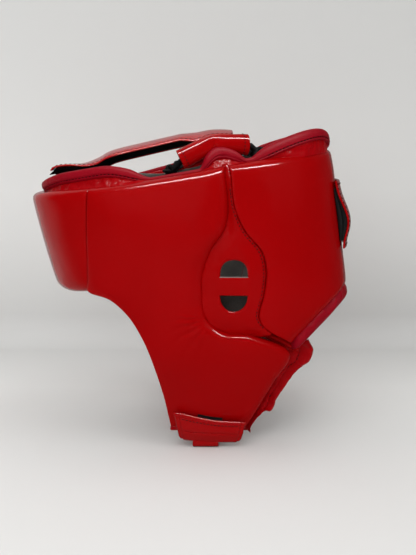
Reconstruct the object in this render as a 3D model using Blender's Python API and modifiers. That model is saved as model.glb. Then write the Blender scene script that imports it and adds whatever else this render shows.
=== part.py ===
"""Open-face boxing headgear: foam pads in leather covers, laced crown, hook-and-loop straps.

Metres, +Z up. The face looks towards -Y and the wearer's left is +X. The headgear stands
on its chin strap, with the origin on the table under the middle of its outline.
"""
import math

import bmesh
import bpy
from mathutils import Matrix, Vector

# Head form that the lining follows: superellipse sections that lean and taper with height
TEMPLE_HEIGHT = 0.160
TEMPLE_HALF_WIDTH = 0.075
CHIN_HALF_WIDTH = 0.042
HEAD_HALF_LENGTH = 0.0974
LENGTH_TAPER = 0.065
HEAD_CENTRE_Y = -0.0003
HEAD_LEAN = 0.20
SECTION_POWER = 2.4

# Layers, measured outwards from the inner face of the lining
LINING = 0.0020
CLEARANCE = 0.0004
PAD_THICKNESS = 0.0240
CHEEK_END_THICKNESS = 0.0170
CHEEK_TAPER_START = 0.032
CHEEK_TAPER_END = 0.085
LEATHER = 0.0014
PAD_CROWN = 0.0014
BROW_EXTRA = 0.0012
BROW_EXTRA_REACH = math.radians(60)
CROWN_REACH = 0.030
PAD_BASE = LINING + CLEARANCE
SEAM_GAP = 0.0010
FOAM_EASE = 0.0003

# Edge radii of the pads
SEAM_RADIUS = 0.0022
EDGE_RADIUS = 0.0085
EAR_RADIUS = 0.0100
LEAST_RADIUS = 0.0004
EDGE_STEPS = (0.0, 0.3, 1.0)

# Top rim of the pads: a plane that rises towards the back
RIM_HEIGHT = 0.2094
RIM_SLOPE = 0.150

# Outlines in side view on the outer face: y, and the height as a share of the rim height there
BROW_SEAM = ((-0.0725, 1.0), (-0.0742, 0.908), (-0.0750, 0.767), (-0.0757, 0.667), (-0.0760, 0.621))
BROW_DROP = 0.0070
FACE_EDGE = ((-0.0590, 0.591), (-0.0440, 0.528), (-0.0355, 0.451), (-0.0300, 0.381), (-0.0255, 0.306),
             (-0.0200, 0.199), (-0.0145, 0.097))
EAR_FRONT_EDGE = ((0.0258, 1.0), (0.0288, 0.893), (0.0266, 0.805), (0.0180, 0.741), (0.0116, 0.668),
                  (0.0103, 0.595), (0.0140, 0.495), (0.0290, 0.443), (0.0500, 0.424))
JAW_EDGE = ((0.0785, 0.348), (0.0684, 0.240), (0.0530, 0.110))
EAR_REAR_EDGE = ((0.0332, 1.0), (0.0366, 0.878), (0.0452, 0.786), (0.0556, 0.713), (0.0590, 0.644),
                 (0.0574, 0.570), (0.0535, 0.494), (0.0600, 0.440), (0.0805, 0.376))
EAR_PANEL_END = ((0.0320, 0.459), (0.0520, 0.455))
REAR_EDGE_SHARES = (1.0, 0.876, 0.814, 0.762, 0.709, 0.657, 0.609, 0.560, 0.512)
REAR_GAP = 0.012
REAR_BOWS = (0.0, 0.0, 0.0, 0.0, 0.0, 0.003, 0.006, 0.010, 0.012)

# Ear panel: a flat unpadded leaf with two D-shaped holes; the bar between them in shares of RIM_HEIGHT
EAR_LEAF = 0.0022
EAR_LEAF_OUT = 0.0112
EAR_LEAF_INSET = 0.0026
EAR_HOLE_HALF_WIDTH = 0.0101
EAR_HOLE_HEIGHT = 0.0134
EAR_HOLE_Y = 0.0324
EAR_HOLE_DEPTH = 0.030
EAR_HOLE_BAR_TOP = 0.647
EAR_HOLE_BAR_BOTTOM = 0.585

# Collar: the soft roll above the rim, with its bound edge
COLLAR_FOOT = 0.0155
COLLAR_LOW = 0.0012
FRONT_COLLAR_RISE = 0.0115
EAR_COLLAR_RISE = 0.0080
EAR_COLLAR_Y = 0.0180
EAR_COLLAR_REACH = 0.022
TEMPLE_COLLAR_REACH = 0.046
REAR_COLLAR_RISE = 0.0108
REAR_COLLAR_ANGLE = math.radians(151)
REAR_COLLAR_REACH = math.radians(27)
REAR_COLLAR_LOW = 0.0032
REAR_COLLAR_SPREAD = math.radians(43)
FRONT_COLLAR_OUT = 0.0105
SIDE_COLLAR_OUT = 0.0060
REAR_COLLAR_OUT = 0.0125
COLLAR_LIP = 0.0060
COLLAR_WAIST_OUT = 0.45
COLLAR_WAIST_UP = 0.55
COLLAR_SHOULDER_UP = 0.88
COLLAR_INNER_UP = 0.86
COLLAR_END_ANGLE = 0.006
BINDING_RADIUS = 0.0018
LINING_COLLAR_SHARE = 0.5

# Lining hem that shows behind the jaw and under the rear pads
JAW_HEMS = (0.0180, 0.0140, 0.0085)
JAW_HEM_FADE = 0.0090
JAW_BINDING_SEAT = 0.0015
NECK_HEM = 0.0070
NECK_HEM_REACH = 0.33
NECK_BINDING_START = 0.04
NECK_BINDING_END = 0.97

# Crown harness, with heights above RIM_HEIGHT: laced sleeves, a bridge between them and a strap
SLEEVE_PATH = ((-0.0060, 0.0099), (0.0060, 0.0171), (0.0165, 0.0228), (0.0300, 0.0228),
               (0.0440, 0.0222))
SLEEVE_OUT = 0.0015
SLEEVE_RADIUS = 0.0062
SLEEVE_WALL = 0.0014
LACE_RADIUS = 0.0022
LACE_STANDOFF = 0.0012
LACE_FRONT = ((-0.0170, -0.0049), (-0.0135, 0.0011))
LACE_REAR = ((0.0475, 0.0218), (0.0520, 0.0206), (0.0555, 0.0168), (0.0570, 0.0106))
BRIDGE_RIDGE = ((0.0040, 0.0242), (0.0165, 0.0264), (0.0300, 0.0264), (0.0420, 0.0246))
BRIDGE_LEATHER = 0.0016
BRIDGE_SEAT = 0.0025
BRIDGE_HUMP_REACH = 0.046
STRAP_LEATHER = 0.0020
TAPE = 0.0012
CROWN_STRAP_WIDTH = 0.046
CROWN_TAPE_WIDTH = 0.040
CROWN_STRAP_PATH = ((-0.1070, 0.0034), (-0.1000, 0.0048), (-0.0860, 0.0061), (-0.0740, 0.0111),
                    (-0.0620, 0.0168), (-0.0330, 0.0231), (-0.0080, 0.0288))
CROWN_STRAP_END = 0.0390
CROWN_TAPE_START = -0.0980
CROWN_EDGE_DROP = 0.0050
CROWN_FAR_DROP = 0.0120
CROWN_TWIST_Y = -0.0620
CROWN_TWIST_REACH = 0.050
CROWN_LEVEL_REACH = 0.035
CROWN_LAY_SLACK = 0.0006
CROWN_LAY_STEP = 0.001
CROWN_ANCHOR_PATH = ((-0.0164, -0.0024), (-0.0104, -0.0022), (-0.0039, 0.0006), (0.0004, 0.0018))

# Rear closure strap
REAR_STRAP_LOW = 0.151
REAR_STRAP_HIGH = 0.203
REAR_STRAP_FOLD = -0.030
REAR_STRAP_ROOT = -0.046
REAR_STRAP_TIP = 0.042
REAR_STRAP_BULGE = 0.0014
REAR_TAPE_INSET = 0.006

# Chin strap, tongue and cup
CHIN_STRAP_FRONT = 0.0020
CHIN_STRAP_REAR = 0.0220
CHIN_STRAP_LEATHER = 0.0020
CHIN_STRAP_TOP = 0.0165
CHIN_HINGE_HEIGHT = 0.0093
CHIN_BEND = 0.0100
CHIN_BEND_IN = 0.0030
CHIN_BEND_RISE = 0.0016
CHIN_FLAT_START = 0.0160
TONGUE_FRONT = -0.0115
TONGUE_REAR = 0.0430
TONGUE_LEATHER = 0.0034
TONGUE_TOP_FRONT = 0.0290
TONGUE_TOP_REAR = 0.0255
TONGUE_BOTTOM = 0.0080
ANCHOR_BOTTOM = 0.0098
CHIN_PATCH_FRONT = 0.0050
CHIN_PATCH_REAR = 0.0250
CHIN_PATCH_RISE = 0.0016
CUP_HALF_WIDTH = 0.028
CUP_FRONT = -0.0170
CUP_REAR = 0.0465
CUP_TOP = 0.0114
CUP_EDGE_RUN = 0.0120
CUP_EDGE_DROP = 0.0050
CUP_EDGE_SHARE = 0.3
CUP_STATIONS = ((-1.0, 0.55), (-0.86, 0.88), (-0.55, 1.0), (0.0, 1.0), (0.55, 1.0), (0.86, 0.88), (1.0, 0.55))

# Hinge line of the rear halves, over the ear panels
REAR_HINGE_Y = 0.0300
REAR_HINGE_HEIGHT = 0.200
REAR_HINGE_OUT = 0.0260
HINGE_SIZE = 0.010

# Mesh density: inner rows and columns of each pad, and points along measured runs
FOREHEAD_GRID = (2, 9)
SIDE_GRID = (8, 3)
REAR_GRID = (4, 7)
EAR_GRID = (10, 4)
PATTERN_SAMPLES = 80
WIDTH_SAMPLES = 12
PATH_SAMPLES = 60
HOLE_SEGMENTS = 28
SHARP_ANGLE = math.radians(40)

COLLECTION_NAME = "boxing_headgear"
CUTTER_COLLECTION_NAME = "boxing_headgear_cutters"


def new_collection(name):
    collection = bpy.data.collections.new(name)
    bpy.context.scene.collection.children.link(collection)
    return collection


def new_material(name, colour, roughness):
    material = bpy.data.materials.new(name)
    material.use_nodes = True
    shader = material.node_tree.nodes["Principled BSDF"]
    shader.inputs["Base Color"].default_value = (*colour, 1.0)
    shader.inputs["Roughness"].default_value = roughness
    shader.inputs["Metallic"].default_value = 0.0
    return material


for leftover in list(bpy.data.objects):
    bpy.data.objects.remove(leftover, do_unlink=True)

PARTS = new_collection(COLLECTION_NAME)
CUTTERS = new_collection(CUTTER_COLLECTION_NAME)
RED_LEATHER = new_material("red_leather", (0.42, 0.004, 0.006), 0.32)
SOFT_LEATHER = new_material("soft_red_leather", (0.40, 0.008, 0.022), 0.50)
GREY_LINING = new_material("grey_lining", (0.16, 0.15, 0.14), 0.80)
FOAM = new_material("foam", (0.05, 0.05, 0.055), 0.95)
BLACK_TAPE = new_material("black_tape", (0.008, 0.008, 0.008), 0.90)
BLACK_LACE = new_material("black_lace", (0.012, 0.012, 0.012), 0.75)


def signed_power(value, power):
    return math.copysign(abs(value) ** power, value)


def half_width(z):
    fall = (z - TEMPLE_HEIGHT) / TEMPLE_HEIGHT
    return TEMPLE_HALF_WIDTH - (TEMPLE_HALF_WIDTH - CHIN_HALF_WIDTH) * fall * fall


def half_length(z):
    return HEAD_HALF_LENGTH + LENGTH_TAPER * (z - TEMPLE_HEIGHT)


def centre_y(z):
    return HEAD_CENTRE_Y - HEAD_LEAN * (z - TEMPLE_HEIGHT)


def head_point(angle, z, out):
    """Point on the head form; the angle runs from the front (0) over the left ear to the back (pi)."""
    power = 2.0 / SECTION_POWER
    x = (half_width(z) + out) * signed_power(math.sin(angle), power)
    y = centre_y(z) - (half_length(z) + out) * signed_power(math.cos(angle), power)
    return Vector((x, y, z))


def angle_at(y, z, out=PAD_THICKNESS):
    """Angle on the left side whose point at this height has this y."""
    share = (y - centre_y(z)) / (half_length(z) + out)
    share = max(-1.0, min(1.0, share))
    return math.acos(-signed_power(share, SECTION_POWER / 2.0))


def angle_at_back(x, z, out=PAD_THICKNESS):
    """Angle near the back of the head whose point at this height has this x."""
    share = signed_power(x / (half_width(z) + out), SECTION_POWER / 2.0)
    return math.pi - math.asin(share)


def rim_height(angle):
    z = RIM_HEIGHT
    for _ in range(4):
        z = RIM_HEIGHT + RIM_SLOPE * head_point(angle, z, PAD_THICKNESS).y
    return z


def spline(points, u):
    """Smooth curve through the points; u counts points from 0."""
    last = len(points) - 1
    i = min(int(u), last - 1)
    f = u - i
    p1 = points[i]
    p2 = points[i + 1]
    p0 = points[i - 1] if i > 0 else tuple(2 * a - b for a, b in zip(p1, p2))
    p3 = points[i + 2] if i + 2 <= last else tuple(2 * b - a for a, b in zip(p1, p2))
    result = []
    for a, b, c, d in zip(p0, p1, p2, p3):
        cubic = 2 * b + (c - a) * f + (2 * a - 5 * b + 4 * c - d) * f * f
        result.append(0.5 * (cubic + (3 * b - a - 3 * c + d) * f ** 3))
    return tuple(result)


def spline_run(points, count):
    last = len(points) - 1
    return [spline(points, last * k / (count - 1)) for k in range(count)]


def bump(q):
    return math.cos(0.5 * math.pi * q) ** 2 if abs(q) < 1.0 else 0.0


def mix(a, b, f):
    return a + (b - a) * f


def even(start, end, count):
    return [mix(start, end, k / (count - 1)) for k in range(count)]


class Patch:
    """A panel pattern on the head form: rungs from its front edge to its rear edge, top to bottom."""

    def __init__(self, front, rear, bows=None, rim_top=True):
        self.front = front
        self.rear = rear
        self.bows = bows or [0.0] * len(front)
        self.rim_top = rim_top
        self.last = len(front) - 1

    def rung(self, k, w):
        (a0, z0), (a1, z1) = self.front[k], self.rear[k]
        angle = mix(a0, a1, w)
        if k == 0 and self.rim_top:
            return angle, rim_height(angle)
        return angle, mix(z0, z1, w) + self.bows[k] * 4.0 * w * (1.0 - w)

    def at(self, u, w):
        return spline([self.rung(k, w) for k in range(self.last + 1)], u)

    def point(self, u, w, out):
        angle, z = self.at(u, w)
        return head_point(angle, z, out)


def run_length(points):
    return sum((b - a).length for a, b in zip(points, points[1:]))


def spaced(length, inset, near_radius, far_radius, inner, steps):
    """Distances along a run: close together at the rounded ends, even between them."""
    near = [inset + near_radius * s for s in steps]
    far = [length - inset - far_radius * s for s in reversed(steps)]
    gap = (far[0] - near[-1]) / (inner + 1)
    return near + [near[-1] + gap * (k + 1) for k in range(inner)] + far


def patch_grid(patch, inset, radii, inner_rows, inner_cols, steps=EDGE_STEPS):
    """Pattern points with their distances to the front, rear, top and bottom edges."""
    front_radius, rear_radius, top_radius, bottom_radius = radii
    samples = PATTERN_SAMPLES
    mid = [patch.point(patch.last * k / samples, 0.5, PAD_THICKNESS) for k in range(samples + 1)]
    travel = [0.0]
    for a, b in zip(mid, mid[1:]):
        travel.append(travel[-1] + (b - a).length)
    rows = spaced(travel[-1], inset, top_radius, bottom_radius, inner_rows, steps)
    grid = []
    for row in rows:
        k = max(i for i in range(samples) if travel[i] <= row)
        u = patch.last * (k + (row - travel[k]) / (travel[k + 1] - travel[k])) / samples
        width = run_length([patch.point(u, w, PAD_THICKNESS) for w in even(0.0, 1.0, WIDTH_SAMPLES + 1)])
        line = []
        for col in spaced(width, inset, front_radius, rear_radius, inner_cols, steps):
            edges = (col - inset, width - inset - col, row - inset, travel[-1] - inset - row)
            line.append((*patch.at(u, col / width), edges))
        grid.append(line)
    return grid


def full_thickness(z):
    share = max(0.0, min(1.0, (z - CHEEK_TAPER_START) / (CHEEK_TAPER_END - CHEEK_TAPER_START)))
    return mix(PAD_THICKNESS, CHEEK_END_THICKNESS, bump(share))


def pad_surface(patch, radii, depth, rows, cols, ease=0.0):
    """Front face of a pad, sunk by depth below the outer face of its cover and eased in at its edges."""
    sunk = tuple(max(radius - depth - ease, LEAST_RADIUS) for radius in radii)
    grid = patch_grid(patch, 0.5 * SEAM_GAP + depth + ease, sunk, rows, cols)
    face = []
    foot = []
    for line in grid:
        face_line = []
        foot_line = []
        for angle, z, edges in line:
            top = full_thickness(z) - PAD_CROWN - depth + BROW_EXTRA * bump(angle / BROW_EXTRA_REACH)
            lift = top
            for distance, radius in zip(edges, sunk):
                reach = max(0.0, 1.0 - distance / radius)
                lift = min(lift, top - radius + radius * math.sqrt(max(0.0, 1.0 - reach * reach)))
            ease = max(0.0, 1.0 - min(edges) / CROWN_REACH)
            lift += PAD_CROWN * (1.0 - ease * ease)
            face_line.append(head_point(angle, z, lift))
            foot_line.append(head_point(angle, z, PAD_BASE))
        face.append(face_line)
        foot.append(foot_line)
    return face, foot


def border(rows, cols):
    """Grid positions around the edge, in order."""
    loop = [(0, j) for j in range(cols)]
    loop += [(i, cols - 1) for i in range(1, rows)]
    loop += [(rows - 1, j) for j in range(cols - 2, -1, -1)]
    loop += [(i, 0) for i in range(rows - 2, 0, -1)]
    return loop


def place(name, data, material, collection=None):
    item = bpy.data.objects.new(name, data)
    item.data.materials.append(material)
    (collection or PARTS).objects.link(item)
    return item


def mesh_object(name, bm, material, side=1, smooth=True):
    if side < 0:
        bmesh.ops.scale(bm, vec=(-1.0, 1.0, 1.0), verts=bm.verts[:])
    bmesh.ops.recalc_face_normals(bm, faces=bm.faces[:])
    mesh = bpy.data.meshes.new(name)
    bm.to_mesh(mesh)
    bm.free()
    if smooth:
        mesh.shade_smooth()
        mesh.set_sharp_from_angle(angle=SHARP_ANGLE)
    return place(name, mesh, material)


def grid_faces(bm, points, domed=False):
    """A sheet over rows of points: quads, or on a dome triangles split towards its corners."""
    verts = [[bm.verts.new(p) for p in line] for line in points]
    for i, (a, b) in enumerate(zip(verts, verts[1:])):
        for j in range(len(a) - 1):
            if not domed:
                bm.faces.new((a[j], a[j + 1], b[j + 1], b[j]))
            elif (2 * i < len(verts) - 1) == (2 * j < len(a) - 1):
                bm.faces.new((a[j], a[j + 1], b[j + 1]))
                bm.faces.new((a[j], b[j + 1], b[j]))
            else:
                bm.faces.new((a[j], a[j + 1], b[j]))
                bm.faces.new((a[j + 1], b[j + 1], b[j]))
    return verts


def wall_faces(bm, upper, lower):
    count = len(upper)
    for k in range(count):
        n = (k + 1) % count
        bm.faces.new((upper[k], upper[n], lower[n], lower[k]))


def foam_core(name, patch, radii, rows, cols, side=1):
    face, foot = pad_surface(patch, radii, LEATHER + CLEARANCE, rows, cols, FOAM_EASE)
    bm = bmesh.new()
    upper = grid_faces(bm, face, domed=True)
    lower = grid_faces(bm, foot)
    loop = border(len(face), len(face[0]))
    wall_faces(bm, [upper[i][j] for i, j in loop], [lower[i][j] for i, j in loop])
    return mesh_object(name, bm, FOAM, side)


def leather_cover(name, patch, radii, rows, cols, side=1):
    """Leather drawn over the front and sides of a foam core, open at the lining."""
    bm = bmesh.new()
    rims = []
    for depth in (0.0, LEATHER):
        face, foot = pad_surface(patch, radii, depth, rows, cols)
        verts = grid_faces(bm, face, domed=True)
        loop = border(len(face), len(face[0]))
        rim = [bm.verts.new(foot[i][j]) for i, j in loop]
        wall_faces(bm, [verts[i][j] for i, j in loop], rim)
        rims.append(rim)
    wall_faces(bm, rims[0], rims[1])
    return mesh_object(name, bm, RED_LEATHER, side)


def sheet(name, points, thickness, material, side=1):
    """A sheet of even thickness, centred on rows of points."""
    bm = bmesh.new()
    grid_faces(bm, points)
    item = mesh_object(name, bm, material, side)
    solid = item.modifiers.new("thickness", "SOLIDIFY")
    solid.thickness = thickness
    solid.offset = 0.0
    solid.use_even_offset = True
    return item


def lining_sheet(name, patch, radii, raise_top, side_hem, low_hem, rows, cols, side=1):
    """Lining behind a pad, on the pad's own grid lines, with hems past its rear and lower edges."""
    points = []
    grid = patch_grid(patch, SEAM_GAP, radii, rows, cols, steps=(0.0, 1.0))
    for i, line in enumerate(grid):
        points.append([])
        for j, (angle, z, _) in enumerate(line):
            if i == 0:
                z += raise_top(angle)
            if i == len(grid) - 1:
                z -= low_hem(j / (len(line) - 1))
            if j == len(line) - 1:
                angle += side_hem(z) / (half_width(z) + LINING)
            points[-1].append(head_point(angle, z, 0.5 * LINING))
    return sheet(name, points, LINING, GREY_LINING, side)


def tube(name, points, radius, material, side=1, resolution=1, capped=True):
    curve = bpy.data.curves.new(name, "CURVE")
    curve.dimensions = "3D"
    curve.bevel_depth = radius
    curve.bevel_resolution = resolution
    curve.use_fill_caps = capped
    line = curve.splines.new("POLY")
    line.points.add(len(points) - 1)
    for spot, point in zip(line.points, points):
        spot.co = (side * point[0], point[1], point[2], 1.0)
    return place(name, curve, material)


def outline_points(pairs):
    """Pattern points for an outline given in side view."""
    points = []
    for y, share in pairs:
        z = share * (RIM_HEIGHT + RIM_SLOPE * y)
        points.append((angle_at(y, z), z))
    return points


BROW = outline_points(BROW_SEAM)
EAR_FRONT = outline_points(EAR_FRONT_EDGE)
EAR_REAR = outline_points(EAR_REAR_EDGE)
BACK_RIM = rim_height(math.pi)
BACK = [(angle_at_back(0.5 * REAR_GAP, share * BACK_RIM), share * BACK_RIM) for share in REAR_EDGE_SHARES]
JAW = outline_points(JAW_EDGE)

FOREHEAD = Patch([(-a, z) for a, z in BROW], BROW, [-BROW_DROP] * len(BROW))
SIDE = Patch(BROW + outline_points(FACE_EDGE), EAR_FRONT + JAW)
REAR = Patch(EAR_REAR, BACK, REAR_BOWS)
EAR = Patch(EAR_FRONT[:-2] + outline_points(EAR_PANEL_END[:1]),
            EAR_REAR[:-2] + outline_points(EAR_PANEL_END[1:]))

FOREHEAD_RADII = (SEAM_RADIUS, SEAM_RADIUS, EDGE_RADIUS, EDGE_RADIUS)
SIDE_RADII = (SEAM_RADIUS, EAR_RADIUS, EDGE_RADIUS, EDGE_RADIUS)
REAR_RADII = (EAR_RADIUS, EDGE_RADIUS, EDGE_RADIUS, EDGE_RADIUS)


def no_hem(_):
    return 0.0


def jaw_hem(z):
    """Width of the lining past the jaw edge: widest at the corner under the rear pad."""
    (_, corner), (_, middle), (_, end) = JAW
    if z > corner:
        return JAW_HEMS[0] * bump((z - corner) / JAW_HEM_FADE)
    if z > middle:
        return mix(JAW_HEMS[1], JAW_HEMS[0], (z - middle) / (corner - middle))
    return mix(JAW_HEMS[2], JAW_HEMS[1], (z - end) / (middle - end))


def neck_hem(share):
    """Depth of the lining's hem under a rear pad."""
    return NECK_HEM * min(1.0, share / NECK_HEM_REACH)


def front_rise(_):
    return FRONT_COLLAR_RISE


def side_rise(angle):
    y = head_point(angle, RIM_HEIGHT, PAD_THICKNESS).y
    temple = FRONT_COLLAR_RISE * bump((y - BROW_SEAM[0][0]) / TEMPLE_COLLAR_REACH)
    ear = EAR_COLLAR_RISE * bump((y - EAR_COLLAR_Y) / EAR_COLLAR_REACH)
    return max(COLLAR_LOW, temple, ear)


def rear_rise(angle):
    y = head_point(angle, RIM_HEIGHT, PAD_THICKNESS).y
    ear = EAR_COLLAR_RISE * bump((y - EAR_COLLAR_Y) / EAR_COLLAR_REACH)
    back = REAR_COLLAR_RISE * bump((angle - REAR_COLLAR_ANGLE) / REAR_COLLAR_REACH)
    return max(REAR_COLLAR_LOW + back, ear)


def half_rise(rise):
    """Height of the lining behind a collar of this rise."""
    return lambda angle: LINING_COLLAR_SHARE * rise(angle)


def front_out(angle):
    return mix(FRONT_COLLAR_OUT, SIDE_COLLAR_OUT, min(1.0, abs(angle) / BROW[0][0]) ** 2)


def side_out(_):
    return SIDE_COLLAR_OUT


def rear_out(angle):
    share = bump((angle - REAR_COLLAR_ANGLE) / REAR_COLLAR_SPREAD)
    return mix(SIDE_COLLAR_OUT, REAR_COLLAR_OUT, share)


def collar_roll(name, angles, rise, out, side=1):
    """A soft roll on the pads' top face, wide at the foot and thin at its bound edge."""
    bm = bmesh.new()
    rings = []
    for angle in angles:
        foot = rim_height(angle) + CLEARANCE
        height = rise(angle) - CLEARANCE
        top = out(angle)
        half_lip = 0.5 * COLLAR_LIP
        waist = mix(COLLAR_FOOT, top + half_lip, COLLAR_WAIST_OUT)
        section = ((PAD_BASE, 0.0), (COLLAR_FOOT, 0.0), (waist, COLLAR_WAIST_UP),
                   (top + half_lip, COLLAR_SHOULDER_UP), (top, 1.0), (top - half_lip, COLLAR_INNER_UP))
        rings.append([bm.verts.new(head_point(angle, foot + height * up, t)) for t, up in section])
    for a, b in zip(rings, rings[1:]):
        wall_faces(bm, a, b)
    bm.faces.new(rings[0])
    bm.faces.new(list(reversed(rings[-1])))
    return mesh_object(name, bm, SOFT_LEATHER, side)


def collar_binding(name, angles, rise, out, side=1):
    seat = BINDING_RADIUS + CLEARANCE
    points = [head_point(a, rim_height(a) + rise(a) + seat, out(a)) for a in angles]
    return tube(name, points, BINDING_RADIUS, SOFT_LEATHER, side)


def build_front():
    foam_core("forehead_foam", FOREHEAD, FOREHEAD_RADII, *FOREHEAD_GRID)
    leather_cover("forehead_cover", FOREHEAD, FOREHEAD_RADII, *FOREHEAD_GRID)
    lining_sheet("forehead_lining", FOREHEAD, FOREHEAD_RADII, half_rise(front_rise),
                 no_hem, no_hem, *FOREHEAD_GRID)
    angles = even(-BROW[0][0] + COLLAR_END_ANGLE, BROW[0][0] - COLLAR_END_ANGLE, 15)
    collar_roll("front_collar", angles, front_rise, front_out)
    collar_binding("front_binding", angles, front_rise, front_out)


def build_side(word, side):
    foam_core(word + "_side_foam", SIDE, SIDE_RADII, *SIDE_GRID, side)
    leather_cover(word + "_side_cover", SIDE, SIDE_RADII, *SIDE_GRID, side)
    lining_sheet(word + "_side_lining", SIDE, SIDE_RADII, half_rise(side_rise),
                 jaw_hem, no_hem, *SIDE_GRID, side)
    angles = even(BROW[0][0] + COLLAR_END_ANGLE, EAR_FRONT[0][0] - COLLAR_END_ANGLE, 13)
    collar_roll(word + "_side_collar", angles, side_rise, side_out, side)
    collar_binding(word + "_side_binding", angles, side_rise, side_out, side)
    hem = []
    for angle, z in spline_run(JAW, 7):
        width = jaw_hem(z) + JAW_BINDING_SEAT
        hem.append(head_point(angle + width / (half_width(z) + LINING), z, 0.5 * LINING))
    tube(word + "_jaw_binding", hem, BINDING_RADIUS, SOFT_LEATHER, side)


def ear_hole_cutter(name, flat_z, direction, side):
    """Half an ellipse in side view, run through the leaf along X."""
    bm = bmesh.new()
    bmesh.ops.create_cone(bm, cap_ends=True, segments=HOLE_SEGMENTS, radius1=1.0, radius2=1.0, depth=1.0)
    middle = head_point(angle_at(EAR_HOLE_Y, flat_z), flat_z, EAR_LEAF_OUT).x
    for vert in bm.verts:
        across, up, along = vert.co
        vert.co = (side * (middle + along * EAR_HOLE_DEPTH), EAR_HOLE_Y + across * EAR_HOLE_HALF_WIDTH,
                   flat_z + direction * max(0.0, up) * EAR_HOLE_HEIGHT)
    if side * direction < 0:
        bmesh.ops.reverse_faces(bm, faces=bm.faces[:])
    mesh = bpy.data.meshes.new(name)
    bm.to_mesh(mesh)
    bm.free()
    cutter = place(name, mesh, RED_LEATHER, CUTTERS)
    cutter.hide_render = True
    cutter.display_type = "WIRE"
    return cutter


def build_ear(word, side):
    grid = patch_grid(EAR, EAR_LEAF_INSET, (0.0, 0.0, 0.0, 0.0), *EAR_GRID, steps=(0.0,))
    points = [[head_point(a, z, EAR_LEAF_OUT) for a, z, _ in line] for line in grid]
    leaf = sheet(word + "_ear_panel", points, EAR_LEAF, RED_LEATHER, side)
    for spot, flat_z, direction in (("upper", EAR_HOLE_BAR_TOP * RIM_HEIGHT, 1),
                                    ("lower", EAR_HOLE_BAR_BOTTOM * RIM_HEIGHT, -1)):
        cut = leaf.modifiers.new(spot + "_hole", "BOOLEAN")
        cut.operation = "DIFFERENCE"
        cut.solver = "EXACT"
        cut.object = ear_hole_cutter(word + "_ear_" + spot + "_hole", flat_z, direction, side)


def build_rear(word, side):
    foam_core(word + "_rear_foam", REAR, REAR_RADII, *REAR_GRID, side)
    leather_cover(word + "_rear_cover", REAR, REAR_RADII, *REAR_GRID, side)
    lining_sheet(word + "_rear_lining", REAR, REAR_RADII, half_rise(rear_rise),
                 no_hem, neck_hem, *REAR_GRID, side)
    angles = even(EAR_REAR[0][0] + COLLAR_END_ANGLE, BACK[0][0] - COLLAR_END_ANGLE, 15)
    collar_roll(word + "_rear_collar", angles, rear_rise, rear_out, side)
    collar_binding(word + "_rear_binding", angles, rear_rise, rear_out, side)
    hem = []
    for share in even(NECK_BINDING_START, NECK_BINDING_END, 9):
        angle, z = REAR.at(REAR.last, share)
        hem.append(head_point(angle, z - neck_hem(share) - BINDING_RADIUS + 0.5 * SEAM_GAP, 0.5 * LINING))
    tube(word + "_neck_binding", hem, BINDING_RADIUS, SOFT_LEATHER, side)


def rim_side_point(y, z, out):
    """Point on the left side of the head form at this y and height."""
    return head_point(angle_at(y, z, out), z, out)


def sleeve_run(count):
    return [rim_side_point(y, RIM_HEIGHT + rise, SLEEVE_OUT) for y, rise in spline_run(SLEEVE_PATH, count)]


def build_sleeve(word, side):
    middle = SLEEVE_RADIUS - 0.5 * SLEEVE_WALL
    run = sleeve_run(13)
    bore = tube(word + "_lace_sleeve", run, middle, RED_LEATHER, side, resolution=2, capped=False)
    wall = bore.modifiers.new("wall", "SOLIDIFY")
    wall.thickness = SLEEVE_WALL
    wall.offset = 0.0
    inside = -LACE_RADIUS - LACE_STANDOFF
    front = [rim_side_point(y, RIM_HEIGHT + rise, inside) for y, rise in LACE_FRONT]
    lace = [tuple(p) for p in front + run[1:-1:2] + run[-1:]]
    tube(word + "_lace", spline_run(lace, 22), LACE_RADIUS, BLACK_LACE, side, resolution=2)
    rear = [tuple(rim_side_point(y, RIM_HEIGHT + rise, mix(SLEEVE_OUT, inside, k / (len(LACE_REAR) - 1))))
            for k, (y, rise) in enumerate(LACE_REAR)]
    tube(word + "_lace_end", spline_run(rear, 9), LACE_RADIUS, BLACK_LACE, side, resolution=2)


def height_on(path, y):
    """Height at this y of a smooth path given as y and height above the rim."""
    run = spline_run(path, PATH_SAMPLES)
    for (y0, z0), (y1, z1) in zip(run, run[1:]):
        if y <= y1:
            break
    return RIM_HEIGHT + mix(z0, z1, (y - y0) / (y1 - y0))


def offset_rows(rows, distance):
    """The same rows moved along their surface normal, upwards for a positive distance."""
    moved = []
    for i, row in enumerate(rows):
        above = rows[max(i - 1, 0)]
        below = rows[min(i + 1, len(rows) - 1)]
        line = []
        for j, point in enumerate(row):
            across = row[min(j + 1, len(row) - 1)] - row[max(j - 1, 0)]
            along = below[j] - above[j]
            line.append(point + across.cross(along).normalized() * distance)
        moved.append(line)
    return moved


def bridge_edge(y):
    """Where the bridge meets the left sleeve at this y."""
    centre = rim_side_point(y, height_on(SLEEVE_PATH, y), SLEEVE_OUT)
    return centre.x - SLEEVE_RADIUS - 2.0 * CLEARANCE, centre.z - BRIDGE_SEAT


def bridge_point(x, y):
    low = bridge_edge(y)[1]
    ridge = height_on(BRIDGE_RIDGE, y)
    return Vector((x, y, mix(low, ridge, bump(x / BRIDGE_HUMP_REACH))))


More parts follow.
